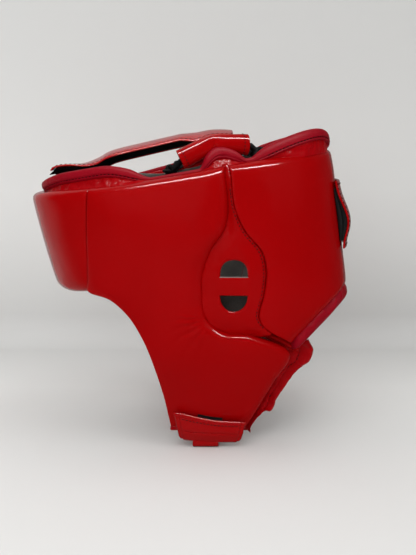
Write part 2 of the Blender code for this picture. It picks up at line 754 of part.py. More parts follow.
def build_bridge():
    rows = []
    for y in even(BRIDGE_RIDGE[0][0], BRIDGE_RIDGE[-1][0], 7):
        reach = bridge_edge(y)[0]
        rows.append([bridge_point(reach * c, y) for c in even(-1.0, 1.0, 17)])
    sheet("crown_bridge", rows, BRIDGE_LEATHER, RED_LEATHER)
    half = 0.5 * CROWN_TAPE_WIDTH
    rows = [[bridge_point(half * c, y) for c in even(-1.0, 1.0, 9)]
            for y in even(BRIDGE_RIDGE[0][0], CROWN_STRAP_END, 7)]
    lift = 0.5 * BRIDGE_LEATHER + CLEARANCE + 0.5 * TAPE
    sheet("crown_loop_tape", offset_rows(rows, lift), TAPE, BLACK_TAPE)


def crown_strap_rows(half, start, end, count):
    """Middle surface of the crown strap: free over the opening, then laid on the bridge's tapes."""
    lay = 0.5 * BRIDGE_LEATHER + 2.0 * TAPE + 3.0 * CLEARANCE + CROWN_LAY_SLACK + 0.5 * STRAP_LEATHER
    columns = even(-1.0, 1.0, 9)
    free_end = CROWN_STRAP_PATH[-1][0]
    laid_start = BRIDGE_RIDGE[0][0]
    rows = []
    for y in even(start, end, count):
        laid = offset_rows([[bridge_point(half * c, max(y, laid_start) + d) for c in columns]
                            for d in (0.0, CROWN_LAY_STEP)], lay)[0]
        z = height_on(CROWN_STRAP_PATH, min(y, free_end))
        twist = bump((y - CROWN_TWIST_Y) / CROWN_TWIST_REACH)
        level = 1.0 - bump((y - CROWN_STRAP_PATH[0][0]) / CROWN_LEVEL_REACH)
        share = max(0.0, min(1.0, (y - free_end) / (laid_start - free_end)))
        row = []
        for c, seat in zip(columns, laid):
            x = half * c
            far = mix(CROWN_EDGE_DROP, CROWN_FAR_DROP, twist if c < 0 else 0.0)
            free = Vector((x, y, z - level * far * (2.0 * x / CROWN_STRAP_WIDTH) ** 2))
            seat.y = y
            row.append(free.lerp(seat, share))
        rows.append(row)
    return rows


def front_point(x, z, out):
    share = signed_power(x / (half_width(z) + out), SECTION_POWER / 2.0)
    return head_point(math.asin(share), z, out)


def build_crown_strap():
    half = 0.5 * CROWN_STRAP_WIDTH
    sheet("crown_strap", crown_strap_rows(half, CROWN_STRAP_PATH[0][0], CROWN_STRAP_END, 19),
          STRAP_LEATHER, RED_LEATHER)
    under = 0.5 * (STRAP_LEATHER + CROWN_LAY_SLACK + TAPE) + CLEARANCE
    rows = crown_strap_rows(0.5 * CROWN_TAPE_WIDTH, CROWN_TAPE_START, CROWN_STRAP_END, 17)
    sheet("crown_hook_tape", offset_rows(rows, -under), TAPE, BLACK_TAPE)
    rows = [[front_point(half * c, RIM_HEIGHT + rise, out) for c in even(-1.0, 1.0, 9)]
            for rise, out in spline_run(CROWN_ANCHOR_PATH, 7)]
    sheet("crown_strap_anchor", rows, STRAP_LEATHER, RED_LEATHER)


def rear_band_rows(x_start, x_end, low, high, out, bulge, columns, rows=7):
    """Rows on the back of the rear pads between two x positions, the left side positive."""
    points = []
    for i in range(rows):
        z = mix(high, low, i / (rows - 1))
        rise = bulge * bump(2.0 * i / (rows - 1) - 1.0)
        line = []
        for c in even(-1.0, 1.0, columns):
            x = mix(x_start, x_end, 0.5 + 0.5 * c)
            lift = out + rise * bump(c)
            line.append(head_point(angle_at_back(x, z, lift), z, lift))
        points.append(line)
    return points


def rear_strap_out():
    """Distance from the head form to the middle of the rear strap, over both tapes."""
    return PAD_THICKNESS + 2.0 * TAPE + 3.0 * CLEARANCE + 0.5 * STRAP_LEATHER


def build_rear_strap():
    patch_out = PAD_THICKNESS + CLEARANCE + 0.5 * TAPE
    tape_out = patch_out + TAPE + CLEARANCE
    strap_out = rear_strap_out()
    low = REAR_STRAP_LOW + REAR_TAPE_INSET
    high = REAR_STRAP_HIGH - REAR_TAPE_INSET
    tip = REAR_STRAP_TIP - 0.5 * REAR_TAPE_INSET
    strap = rear_band_rows(REAR_STRAP_FOLD, REAR_STRAP_TIP, REAR_STRAP_LOW, REAR_STRAP_HIGH,
                           strap_out, REAR_STRAP_BULGE, 13)
    sheet("rear_strap", strap, STRAP_LEATHER, RED_LEATHER)
    tape = rear_band_rows(REAR_GAP, tip, low, high, tape_out, 0.0, 9)
    sheet("rear_hook_tape", tape, TAPE, BLACK_TAPE)
    patch = rear_band_rows(REAR_GAP, tip, low, high, patch_out, 0.0, 9)
    sheet("rear_loop_patch", patch, TAPE, BLACK_TAPE)
    root_out = PAD_THICKNESS + CLEARANCE + 0.5 * STRAP_LEATHER
    root = rear_band_rows(REAR_STRAP_ROOT, REAR_STRAP_FOLD - SEAM_GAP, REAR_STRAP_LOW, REAR_STRAP_HIGH,
                          root_out, 0.0, 7)
    sheet("rear_strap_root", root, STRAP_LEATHER, RED_LEATHER)


def cheek_plate(front, rear, top_front, top_rear, bottom, out, columns=9, rows=5):
    """Rows on the outer face of the left cheek's lower end."""
    points = []
    for i in range(rows):
        line = []
        for y in even(front, rear, columns):
            top = mix(top_front, top_rear, (y - TONGUE_FRONT) / (TONGUE_REAR - TONGUE_FRONT))
            line.append(rim_side_point(y, mix(top, bottom, i / (rows - 1)), out))
        points.append(line)
    return points


def cheek_face():
    return CHEEK_END_THICKNESS - 0.5 * PAD_CROWN


def chin_strap_out():
    """Distance from the head form to the middle of the chin strap, over the loop patch."""
    return cheek_face() + TAPE + 2.0 * CLEARANCE + 0.5 * CHIN_STRAP_LEATHER


def build_chin():
    patch_out = cheek_face() + CLEARANCE + 0.5 * TAPE
    strap_out = chin_strap_out()
    tongue_out = strap_out + 0.5 * CHIN_STRAP_LEATHER + CLEARANCE + 0.5 * TONGUE_LEATHER
    tops = (TONGUE_TOP_FRONT, TONGUE_TOP_REAR)
    tongue = cheek_plate(TONGUE_FRONT, TONGUE_REAR, *tops, TONGUE_BOTTOM, tongue_out, 11)
    sheet("chin_tongue", tongue, TONGUE_LEATHER, RED_LEATHER)
    anchor = cheek_plate(TONGUE_FRONT, TONGUE_REAR, *tops, ANCHOR_BOTTOM, tongue_out, 11)
    sheet("chin_anchor", anchor, TONGUE_LEATHER, RED_LEATHER, -1)
    raised = [top + CHIN_PATCH_RISE for top in tops]
    patch = cheek_plate(CHIN_PATCH_FRONT, CHIN_PATCH_REAR, *raised, CHIN_STRAP_TOP, patch_out)
    sheet("chin_loop_patch", patch, TAPE, BLACK_TAPE)
    tape = cheek_plate(CHIN_PATCH_FRONT, CHIN_PATCH_REAR, *tops, CHIN_STRAP_TOP + SEAM_GAP, strap_out)
    sheet("chin_hook_tape", tape, TAPE, BLACK_TAPE)
    pad_inner = cheek_face() + CLEARANCE
    pad_outer = strap_out + 0.5 * CHIN_STRAP_LEATHER
    middle = mix(pad_inner, pad_outer, 0.5)
    anchor_pad = cheek_plate(CHIN_PATCH_FRONT, CHIN_PATCH_REAR, *tops, ANCHOR_BOTTOM, middle)
    sheet("chin_anchor_pad", anchor_pad, pad_outer - pad_inner, BLACK_TAPE, -1)

    # The strap runs down behind the tongue, under the chin and up to the fold at the right cheek
    middle_y = 0.5 * (CHIN_STRAP_FRONT + CHIN_STRAP_REAR)
    across = (CHIN_STRAP_FRONT, middle_y, CHIN_STRAP_REAR)
    floor = 0.5 * CHIN_STRAP_LEATHER
    reach = rim_side_point(middle_y, TONGUE_BOTTOM, strap_out).x
    rows = [[rim_side_point(y, z, strap_out) for y in across]
            for z in even(CHIN_STRAP_TOP, TONGUE_BOTTOM, 3)]
    flat = reach - CHIN_FLAT_START
    run = [(reach - CHIN_BEND_IN, floor + CHIN_BEND_RISE), (reach - CHIN_BEND, floor)]
    run += [(x, floor) for x in even(flat, -flat, 6)]
    run += [(CHIN_BEND - reach, floor), (CHIN_BEND_IN - reach, floor + CHIN_BEND_RISE)]
    rows += [[Vector((x, y, z)) for y in across] for x, z in run]
    fold = [rim_side_point(y, CHIN_HINGE_HEIGHT, strap_out) for y in across]
    rows.append([Vector((-p.x, p.y, p.z)) for p in fold])
    sheet("chin_strap", rows, CHIN_STRAP_LEATHER, RED_LEATHER)

    build_cup()


def build_cup():
    """A soft pad over the strap, with its two feet on the table before and behind the strap."""
    slot_front = CHIN_STRAP_FRONT - CLEARANCE
    slot_rear = CHIN_STRAP_REAR + CLEARANCE
    slot_top = CHIN_STRAP_LEATHER + CLEARANCE
    bm = bmesh.new()
    rings = []
    for place_along, height in CUP_STATIONS:
        top = mix(slot_top, CUP_TOP, height)
        shoulder = top - CUP_EDGE_DROP * height
        near_top = top - CUP_EDGE_SHARE * CUP_EDGE_DROP * height
        near_run = CUP_EDGE_SHARE * CUP_EDGE_RUN
        section = ((CUP_FRONT, 0.0), (slot_front, 0.0), (slot_front, slot_top), (slot_rear, slot_top),
                   (slot_rear, 0.0), (CUP_REAR, 0.0), (CUP_REAR, shoulder), (CUP_REAR - near_run, near_top),
                   (CUP_REAR - CUP_EDGE_RUN, top), (CUP_FRONT + CUP_EDGE_RUN, top),
                   (CUP_FRONT + near_run, near_top), (CUP_FRONT, shoulder))
        rings.append([bm.verts.new((place_along * CUP_HALF_WIDTH, y, z)) for y, z in section])
    for a, b in zip(rings, rings[1:]):
        wall_faces(bm, a, b)
    bm.faces.new(rings[0])
    bm.faces.new(list(reversed(rings[-1])))
    mesh_object("chin_cup", bm, SOFT_LEATHER)


def hinge(name, spot, axis, nodes, parent=None):
    """An empty on a joint's axis, with its Z along the axis, that carries the pieces which turn there."""
    axle = bpy.data.objects.new(name, None)
    axle.empty_display_size = HINGE_SIZE
    PARTS.objects.link(axle)
    axle.parent = parent
    base = parent.matrix_world if parent else Matrix.Identity(4)
    axle.matrix_parent_inverse = base.inverted()
    axle.matrix_basis = Matrix.LocRotScale(spot, Vector((0.0, 0.0, 1.0)).rotation_difference(axis), None)
    bpy.context.view_layer.update()
    for node in nodes:
        item = bpy.data.objects[node]
        item.parent = axle
        item.matrix_parent_inverse = axle.matrix_world.inverted()
    return axle


def rear_nodes(word):
    names = ("_rear_foam", "_rear_cover", "_rear_lining", "_rear_collar", "_rear_binding", "_neck_binding",
             "_lace_end")
    return [word + name for name in names]


def build_hinges():
    strap_front = Vector((0.0, CROWN_STRAP_PATH[0][0], RIM_HEIGHT + CROWN_STRAP_PATH[0][1]))
    hinge("crown_strap_hinge", strap_front, Vector((1.0, 0.0, 0.0)), ["crown_strap", "crown_hook_tape"])
    chin_out = chin_strap_out() + 0.5 * CHIN_STRAP_LEATHER + CLEARANCE
    fold = rim_side_point(0.5 * (CHIN_STRAP_FRONT + CHIN_STRAP_REAR), CHIN_HINGE_HEIGHT, chin_out)
    fold.x = -fold.x
    hinge("chin_strap_hinge", fold, Vector((0.0, 1.0, 0.0)),
          ["chin_strap", "chin_tongue", "chin_hook_tape", "chin_cup"])
    left = rim_side_point(REAR_HINGE_Y, REAR_HINGE_HEIGHT, REAR_HINGE_OUT)
    hinge("left_rear_hinge", left, Vector((0.0, 0.0, -1.0)), rear_nodes("left") + ["rear_loop_patch"])
    right = Vector((-left.x, left.y, left.z))
    right_half = hinge("right_rear_hinge", right, Vector((0.0, 0.0, 1.0)),
                       rear_nodes("right") + ["rear_strap_root"])
    strap_face = rear_strap_out() + 0.5 * STRAP_LEATHER
    ends = [head_point(angle_at_back(REAR_STRAP_FOLD, z, strap_face), z, strap_face)
            for z in (REAR_STRAP_LOW, REAR_STRAP_HIGH)]
    hinge("rear_strap_hinge", 0.5 * (ends[0] + ends[1]), ends[1] - ends[0],
          ["rear_strap", "rear_hook_tape"], right_half)


build_front()
for side_word, side_sign in (("left", 1), ("right", -1)):
    build_side(side_word, side_sign)
    build_ear(side_word, side_sign)
    build_rear(side_word, side_sign)
    build_sleeve(side_word, side_sign)
build_bridge()
build_crown_strap()
build_rear_strap()
build_chin()
build_hinges()
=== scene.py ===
import math
import bmesh
import bpy
import numpy as np
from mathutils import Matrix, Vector, noise
from mathutils.geometry import delaunay_2d_cdt


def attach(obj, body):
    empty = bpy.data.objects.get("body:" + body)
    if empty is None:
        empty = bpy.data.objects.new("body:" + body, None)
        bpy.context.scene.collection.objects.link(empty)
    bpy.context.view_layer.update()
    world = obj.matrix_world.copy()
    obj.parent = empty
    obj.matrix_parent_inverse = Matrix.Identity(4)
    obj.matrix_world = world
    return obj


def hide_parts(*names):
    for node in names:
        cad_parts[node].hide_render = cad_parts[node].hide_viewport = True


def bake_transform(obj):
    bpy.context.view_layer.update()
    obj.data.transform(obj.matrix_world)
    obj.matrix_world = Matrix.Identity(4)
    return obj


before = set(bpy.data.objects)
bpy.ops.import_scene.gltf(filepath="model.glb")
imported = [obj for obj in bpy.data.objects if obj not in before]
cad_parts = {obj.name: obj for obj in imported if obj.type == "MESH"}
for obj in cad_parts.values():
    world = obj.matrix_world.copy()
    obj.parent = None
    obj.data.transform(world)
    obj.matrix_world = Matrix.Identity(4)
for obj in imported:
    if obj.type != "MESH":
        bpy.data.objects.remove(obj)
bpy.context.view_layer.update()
scene = bpy.context.scene
scene.view_settings.view_transform = "Standard"
print("frame loaded:", len(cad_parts), "nodes")

# camera, floor and wall as in the photograph
shot = {"place": (0.681, 0.0139, 0.230), "pitchDown": 9.03, "lens": 54.1,
        "wallX": -0.276, "wallBend": 0.035, "stageHalf": 2.2, "wallTop": 1.8}


def addObject(name, data):
    made = bpy.data.objects.new(name, data)
    scene.collection.objects.link(made)
    return made


def addCamera():
    data = bpy.data.cameras.new("photoCamera")
    data.lens = shot["lens"]
    data.sensor_width = 36.0
    data.clip_start = 0.01
    camera = addObject("photoCamera", data)
    camera.location = shot["place"]
    camera.rotation_euler = (math.radians(90 - shot["pitchDown"]), 0.0, math.radians(90))
    scene.camera = camera


addCamera()

# the head form that every layer follows, in metres
headForm = {"templeHeight": 0.160, "templeHalfWidth": 0.075, "chinHalfWidth": 0.042,
            "halfLength": 0.0974, "lengthTaper": 0.065, "centreY": -0.0003, "lean": 0.20,
            "power": 2.4, "rimHeight": 0.2094, "rimSlope": 0.150}
layers = {"lining": 0.0020, "gap": 0.0004, "pad": 0.0240, "cheekEnd": 0.0170, "taperStart": 0.032,
          "taperEnd": 0.085, "crown": 0.0014, "browExtra": -0.0032, "browReach": math.radians(60),
          "crownReach": 0.030, "seamGap": 0.0010, "padGap": 0.0005,
          "rimLift": [(0, 0.0034), (42, 0.0031), (60, 0.0015), (78, 0.0), (90, 0.0005), (103, 0.0016), (180, 0.0018)]}
padBase = layers["lining"] + layers["gap"]
padOut = layers["pad"]


def signedPower(value, power):
    return np.sign(value) * np.abs(value) ** power


def bump(q):
    return np.where(np.abs(q) < 1.0, np.cos(0.5 * math.pi * np.clip(q, -1.0, 1.0)) ** 2, 0.0)


def mix(a, b, f):
    return a + (b - a) * f


def smooth(f):
    f = np.clip(f, 0.0, 1.0)
    return f * f * (3.0 - 2.0 * f)


def unit(vectors):
    return vectors / np.linalg.norm(vectors, axis=-1, keepdims=True)


def travelled(points):
    # distance along a path up to each of its points
    return np.r_[0.0, np.cumsum(np.linalg.norm(np.diff(points, axis=0), axis=1))]


def halfWidth(z):
    fall = (z - headForm["templeHeight"]) / headForm["templeHeight"]
    return headForm["templeHalfWidth"] - (headForm["templeHalfWidth"] - headForm["chinHalfWidth"]) * fall * fall


def halfLength(z):
    return headForm["halfLength"] + headForm["lengthTaper"] * (z - headForm["templeHeight"])


def centreY(z):
    return headForm["centreY"] - headForm["lean"] * (z - headForm["templeHeight"])


def headPoint(angle, z, out):
    angle, z, out = np.broadcast_arrays(np.asarray(angle, float), np.asarray(z, float), np.asarray(out, float))
    power = 2.0 / headForm["power"]
    x = (halfWidth(z) + out) * signedPower(np.sin(angle), power)
    y = centreY(z) - (halfLength(z) + out) * signedPower(np.cos(angle), power)
    return np.stack([x, y, z], -1)


def angleAt(y, z, out=padOut):
    share = np.clip((y - centreY(z)) / (halfLength(z) + out), -1.0, 1.0)
    return np.arccos(-signedPower(share, headForm["power"] / 2.0))


def angleAtBack(x, z, out=padOut):
    share = np.clip(x / (halfWidth(z) + out), -1.0, 1.0)
    return math.pi - np.arcsin(signedPower(share, headForm["power"] / 2.0))


def angleAtFront(x, z, out):
    share = np.clip(x / (halfWidth(z) + out), -1.0, 1.0)
    return np.arcsin(signedPower(share, headForm["power"] / 2.0))


def sidePoint(y, z, out):
    return headPoint(angleAt(y, z, out), z, out)


def rimHeight(angle):
    z = np.full(np.shape(angle), headForm["rimHeight"])
    for _ in range(4):
        z = headForm["rimHeight"] + headForm["rimSlope"] * headPoint(angle, z, padOut)[..., 1]
    return z


def padTop(angle):
    turns, lifts = np.array(layers["rimLift"]).T
    return rimHeight(angle) + np.interp(np.abs(np.degrees(angle)), turns, lifts)


def catmull(values, u):
    values = np.asarray(values, float)
    u = np.asarray(u, float)
    padded = np.concatenate([[2 * values[0] - values[1]], values, [2 * values[-1] - values[-2]]])
    i = np.clip(np.floor(u).astype(int), 0, len(values) - 2)
    f = (u - i).reshape(-1, *[1] * (values.ndim - 1))
    a, b, c, d = (padded[i + k] for k in range(4))
    return 0.5 * (2 * b + (c - a) * f + (2 * a - 5 * b + 4 * c - d) * f ** 2 + (3 * b - a - 3 * c + d) * f ** 3)


def catmullRun(values, count):
    return catmull(values, np.linspace(0.0, len(values) - 1, count))


def evenRun(points, spacing):
    # the same path with points at even distances
    points = np.asarray(points, float)
    steps = travelled(points)
    count = max(3, int(round(steps[-1] / spacing)) + 1)
    where = np.linspace(0.0, steps[-1], count)
    return np.stack([np.interp(where, steps, points[:, k]) for k in range(points.shape[1])], -1)


# pattern outlines in side view: y, and height as a share of the rim height there
pattern = {
    "browSeam": [(-0.0725, 1.0), (-0.0742, 0.908), (-0.0750, 0.767), (-0.0757, 0.667), (-0.0760, 0.621)],
    "faceEdge": [(-0.0592, 0.591), (-0.0456, 0.528), (-0.0364, 0.451), (-0.0307, 0.381), (-0.0272, 0.306),
                 (-0.0238, 0.203), (-0.0188, 0.062)],
    "earFront": [(0.0282, 1.0), (0.0310, 0.893), (0.0282, 0.805), (0.0180, 0.741), (0.0116, 0.668),
                 (0.0103, 0.595), (0.0140, 0.495), (0.0290, 0.443), (0.0500, 0.424)],
    "jawEdge": [(0.0785, 0.348), (0.0684, 0.240), (0.0458, 0.060)],
    "earRear": [(0.0305, 1.0), (0.0330, 0.878), (0.0412, 0.786), (0.0534, 0.713), (0.0572, 0.644),
                (0.0556, 0.570), (0.0517, 0.494), (0.0590, 0.440), (0.0805, 0.376)],
    "earTail": [(0.0640, 0.428)],
    "backShares": [1.0, 0.876, 0.814, 0.762, 0.709, 0.657, 0.609, 0.560, 0.512],
    "backGap": 0.012, "browDrop": 0.0070,
    "rearBows": [0.0, 0.0, 0.0, 0.0, 0.0, 0.003, 0.006, 0.010, 0.012]}


def sideLine(pairs):
    y, share = np.array(pairs).T
    return y, share * (headForm["rimHeight"] + headForm["rimSlope"] * y)


def outline(name):
    y, z = sideLine(pattern[name])
    return np.stack([angleAt(y, z), z], -1)


browLine = outline("browSeam")
earFrontLine = outline("earFront")
earRearLine = outline("earRear")
jawLine = outline("jawEdge")
backZ = np.array(pattern["backShares"]) * rimHeight(np.array(math.pi))
backLine = np.stack([angleAtBack(0.5 * pattern["backGap"], backZ), backZ], -1)


def makePatch(front, rear, bows=None):
    return {"front": front, "rear": rear, "last": len(front) - 1,
            "bows": np.zeros(len(front)) if bows is None else np.asarray(bows, float)}


foreheadPatch = makePatch(browLine * (-1.0, 1.0), browLine, [-pattern["browDrop"]] * len(browLine))
sidePatch = makePatch(np.concatenate([browLine, outline("faceEdge")]), np.concatenate([earFrontLine, jawLine]))
rearPatch = makePatch(earRearLine, backLine, pattern["rearBows"])
earPatch = makePatch(earFrontLine, np.concatenate([earRearLine[:-1], outline("earTail")]))


def patchAt(patch, u, w):
    front, rear = patch["front"], patch["rear"]
    w = np.asarray(w, float)
    angle = mix(front[:, :1], rear[:, :1], w)
    z = mix(front[:, 1:], rear[:, 1:], w) + patch["bows"][:, None] * 4.0 * w * (1.0 - w)
    z[0] = padTop(angle[0])
    both = catmull(np.stack([angle, z], -1), np.array([u]))[0]
    return both[:, 0], both[:, 1]


def spacedRun(length, inset, near, far, inner, steps):
    steps = np.array(steps)
    start = inset + near * steps
    end = length - inset - far * steps[::-1]
    middle = np.linspace(start[-1], end[0], inner + 2)[1:-1]
    return np.concatenate([start, middle, end])


def patchGrid(patch, inset, radii, spacing, steps):
    # pattern points with their distances to the front, rear, top and bottom edges
    us = np.linspace(0.0, patch["last"], 161)
    mid = np.array([headPoint(*patchAt(patch, u, [0.5]), padOut)[0] for u in us])
    travel = travelled(mid)
    widths = []
    for u in us:
        line = headPoint(*patchAt(patch, u, np.linspace(0, 1, 25)), padOut)
        widths.append(np.linalg.norm(np.diff(line, axis=0), axis=1).sum())
    rowCount = int((travel[-1] - radii[2] - radii[3]) / spacing)
    colCount = int((max(widths) - radii[0] - radii[1]) / spacing)
    angles, heights, edges = [], [], []
    for row in spacedRun(travel[-1], inset, radii[2], radii[3], rowCount, steps):
        u = np.interp(row, travel, us)
        width = np.interp(u, us, widths)
        cols = spacedRun(width, inset, radii[0], radii[1], colCount, steps)
        angle, z = patchAt(patch, u, cols / width)
        angles.append(angle)
        heights.append(z)
        rows = np.full(len(cols), row)
        edges.append(np.stack([cols - inset, width - inset - cols, rows - inset, travel[-1] - inset - rows], -1))
    return np.array(angles), np.array(heights), np.array(edges)


def fullThickness(z):
    share = np.clip((z - layers["taperStart"]) / (layers["taperEnd"] - layers["taperStart"]), 0.0, 1.0)
    return mix(padOut, layers["cheekEnd"], bump(share))


def surfaceNormals(grid):
    along = np.gradient(grid, axis=0)
    across = np.gradient(grid, axis=1)
    normals = np.cross(along, across)
    return normals / np.maximum(np.linalg.norm(normals, axis=-1, keepdims=True), 1e-12)


def fractal(points, scale, seed, octaves=3):
    # noise over an array of points, scale in waves per metre, one number or three
    flat = (np.asarray(points) * np.asarray(scale) + seed * 17.3).reshape(-1, 3)
    values = np.array([noise.fractal(p, 0.9, 2.0, octaves) for p in flat.tolist()])
    return values.reshape(np.shape(points)[:-1])


# materials
def plug(tree, node, sockets):
    for key, value in sockets.items():
        if isinstance(value, bpy.types.NodeSocket):
            tree.links.new(value, node.inputs[key])
        else:
            node.inputs[key].default_value = value


def wire(tree, kind, sockets=None, **settings):
    made = tree.nodes.new(kind)
    for key, value in settings.items():
        setattr(made, key, value)
    plug(tree, made, sockets or {})
    return made


def cloudOf(tree, coords, scale, detail, rough=0.5):
    sockets = {"Vector": coords, "Scale": scale, "Detail": detail, "Roughness": rough}
    return wire(tree, "ShaderNodeTexNoise", sockets).outputs["Fac"]


def bumpOf(tree, strength, distance, height, **more):
    sockets = {"Strength": strength, "Distance": distance, "Height": height, **more}
    return wire(tree, "ShaderNodeBump", sockets).outputs["Normal"]


def maths(tree, operation, first, second=0.0):
    return wire(tree, "ShaderNodeMath", {0: first, 1: second}, operation=operation).outputs[0]


def startMaterial(name):
    material = bpy.data.materials.new(name)
    material.use_nodes = True
    tree = material.node_tree
    coords = wire(tree, "ShaderNodeTexCoord").outputs["Object"]
    return material, tree, tree.nodes["Principled BSDF"], coords


def colourMix(tree, factor, first, second, blend="MIX"):
    sockets = {0: factor, 6: first, 7: second}
    return wire(tree, "ShaderNodeMix", sockets, data_type="RGBA", blend_type=blend).outputs[2]


def rangeOf(tree, value, low, high, toLow, toHigh):
    made = wire(tree, "ShaderNodeMapRange", {"Value": value, "From Min": low, "From Max": high,
                                             "To Min": toLow, "To Max": toHigh})
    return made.outputs["Result"]


def wrinkleField(tree, coords, fan):
    # short folds that fan out from a point of the side view
    def step(*what):
        return maths(tree, *what)
    place = wire(tree, "ShaderNodeSeparateXYZ", {"Vector": coords})
    y, z = step("SUBTRACT", place.outputs["Y"], fan["y"]), step("SUBTRACT", place.outputs["Z"], fan["z"])
    away = step("SQRT", step("ADD", step("MULTIPLY", y, y), step("MULTIPLY", z, z)))
    turn = step("ARCTAN2", step("MULTIPLY", z, -1.0), step("MULTIPLY", y, -1.0))
    waver = cloudOf(tree, coords, 60.0, 1.0)
    folds = step("SINE", step("ADD", step("MULTIPLY", turn, fan["count"]), step("MULTIPLY", waver, 7.0)))
    near = rangeOf(tree, away, fan["near"], 1.6 * fan["near"], 0.0, 1.0)
    far = rangeOf(tree, away, 0.4 * fan["reach"], fan["reach"], 1.0, 0.0)
    aside = step("ABSOLUTE", step("SUBTRACT", turn, fan["turn"]))
    below = rangeOf(tree, aside, 0.55 * fan["spread"], fan["spread"], 1.0, 0.0)
    shown = step("MULTIPLY", step("MULTIPLY", near, far), step("MULTIPLY", below, fan["height"]))
    return step("MULTIPLY", folds, shown)


def leather(name, look):
    material, tree, shader, coords = startMaterial(name)
    cloud = cloudOf(tree, coords, look["cloudScale"], 3.0)
    fine = cloudOf(tree, coords, 700.0, 2.0)
    pores = wire(tree, "ShaderNodeTexVoronoi", {"Vector": coords, "Scale": look["grainScale"], "Randomness": 1.0},
                 feature="SMOOTH_F1")
    creases = wire(tree, "ShaderNodeTexVoronoi", {"Vector": coords, "Scale": 0.45 * look["grainScale"]},
                   feature="DISTANCE_TO_EDGE")
    shade = rangeOf(tree, cloud, 0.3, 0.7, 0.0, 1.0)
    base = colourMix(tree, shade, look["deep"], look["light"])
    speck = rangeOf(tree, fine, 0.35, 0.75, 0.0, 0.10)
    base = colourMix(tree, speck, base, look["worn"])
    rough = rangeOf(tree, cloud, 0.25, 0.75, look["rough"] - 0.02, look["rough"] + 0.03)
    edge = rangeOf(tree, creases.outputs["Distance"], 0.0, 0.12, 0.0, 1.0)
    height = maths(tree, "ADD", edge, maths(tree, "MULTIPLY", pores.outputs["Distance"], 0.5))
    normal = bumpOf(tree, look["grain"], 0.0004, height)
    if "wrinkles" in look:
        folds = wrinkleField(tree, coords, look["wrinkles"])
        normal = bumpOf(tree, 0.5, 0.0004, folds, Normal=normal)
        plug(tree, shader, {"Coat Normal": normal})
    plug(tree, shader, {"Base Color": base, "Roughness": rough, "Normal": normal, "Coat Weight": look["coat"],
                        "Coat Roughness": look["coatRough"], "Specular IOR Level": look["specular"]})
    return material


def suede(name, deep, light, scale, sheen):
    material, tree, shader, coords = startMaterial(name)
    cloud = cloudOf(tree, coords, 38.0, 4.0)
    nap = cloudOf(tree, coords, scale, 4.0, 0.7)
    shade = maths(tree, "MULTIPLY", cloud, nap)
    base = colourMix(tree, rangeOf(tree, shade, 0.12, 0.42, 0.0, 1.0), deep, light)
    plug(tree, shader, {"Base Color": base, "Normal": bumpOf(tree, 0.5, 0.0006, nap),
                        "Roughness": rangeOf(tree, nap, 0.3, 0.7, 0.82, 0.98),
                        "Specular IOR Level": 0.2, "Sheen Weight": sheen})
    return material


def woven(name, deep, light, pitch, slant):
    material, tree, shader, coords = startMaterial(name)
    bands = []
    for turn in (slant, -slant):
        mapping = wire(tree, "ShaderNodeMapping", {"Vector": coords, "Rotation": (0.4, turn, turn)})
        band = wire(tree, "ShaderNodeTexWave", {"Vector": mapping.outputs["Vector"], "Scale": pitch,
                                               "Distortion": 0.6, "Detail": 1.0})
        bands.append(band.outputs["Fac"])
    both = maths(tree, "MAXIMUM", *bands)
    base = colourMix(tree, both, deep, light)
    plug(tree, shader, {"Base Color": base, "Normal": bumpOf(tree, 0.6, 0.0005, both),
                        "Roughness": rangeOf(tree, both, 0.0, 1.0, 0.90, 0.7), "Specular IOR Level": 0.12})
    return material


padLook = {"deep": (0.314, 0.0003, 0.0008, 1), "light": (0.340, 0.0004, 0.0012, 1), "worn": (0.37, 0.004, 0.005, 1),
           "cloudScale": 22.0, "grainScale": 1500.0, "grain": 0.05, "rough": 0.17, "coat": 0.38,
           "coatRough": 0.13, "specular": 0.02}
padLeather = leather("padLeather", padLook)
cheekFolds = {"y": 0.0155, "z": 0.1065, "near": 0.008, "reach": 0.040, "count": 20.0,
              "turn": 0.55, "spread": 0.85, "height": 1.5}
sideLeather = leather("sideLeather", dict(padLook, wrinkles=cheekFolds))
collarLeather = leather("collarLeather", dict(padLook, deep=(0.315, 0.0006, 0.0026, 1),
                                              light=(0.410, 0.0010, 0.0040, 1), grainScale=1100.0, grain=0.16,
                                              rough=0.28, coat=0.05, specular=0.05))
bindingLeather = leather("bindingLeather", dict(padLook, deep=(0.265, 0.0016, 0.0085, 1),
                                                light=(0.300, 0.0028, 0.0120, 1), worn=(0.34, 0.012, 0.022, 1),
                                                grainScale=1300.0, grain=0.22, rough=0.44, coat=0.0, specular=0.05))
strapLeather = leather("strapLeather", dict(padLook, grain=0.04, rough=0.17, coat=0.55, coatRough=0.07, specular=0.22))
# the crown strap's base red is lighter than the pads' red: a painted sheen on the strap's top
crownPaintedSheenLeather = leather("crownPaintedSheenLeather", dict(padLook, deep=(0.43, 0.0020, 0.0040, 1), light=(0.46, 0.0025, 0.0050, 1),
                                            grain=0.04, rough=0.20, coat=0.60, coatRough=0.10, specular=0.30))
threadRed = woven("threadRed", (0.020, 0.0003, 0.001, 1), (0.060, 0.001, 0.002, 1), 900.0, 0.7)
greySuede = suede("greySuede", (0.050, 0.046, 0.041, 1), (0.135, 0.126, 0.113, 1), 1500.0, 0.1)
loopPile = suede("loopPile", (0.0010, 0.0010, 0.0011, 1), (0.006, 0.006, 0.0065, 1), 1100.0, 0.0)
laceBlack = woven("laceBlack", (0.001, 0.001, 0.001, 1), (0.007, 0.007, 0.0075, 1), 420.0, 0.7)
# pale suede used only on the upper hole's upward-facing flat cut edge: a painted highlight where light falls
paintedLitEdge = suede("paintedLitEdge", (0.15, 0.11, 0.10, 1), (0.30, 0.24, 0.22, 1), 900.0, 0.0)
print("materials made")


# meshes
def faceOutward(mesh, weld=0.0):
    bm = bmesh.new()
    bm.from_mesh(mesh)
    if weld:
        bmesh.ops.remove_doubles(bm, verts=bm.verts[:], dist=weld)
    bmesh.ops.recalc_face_normals(bm, faces=bm.faces[:])
    bm.to_mesh(mesh)
    bm.free()


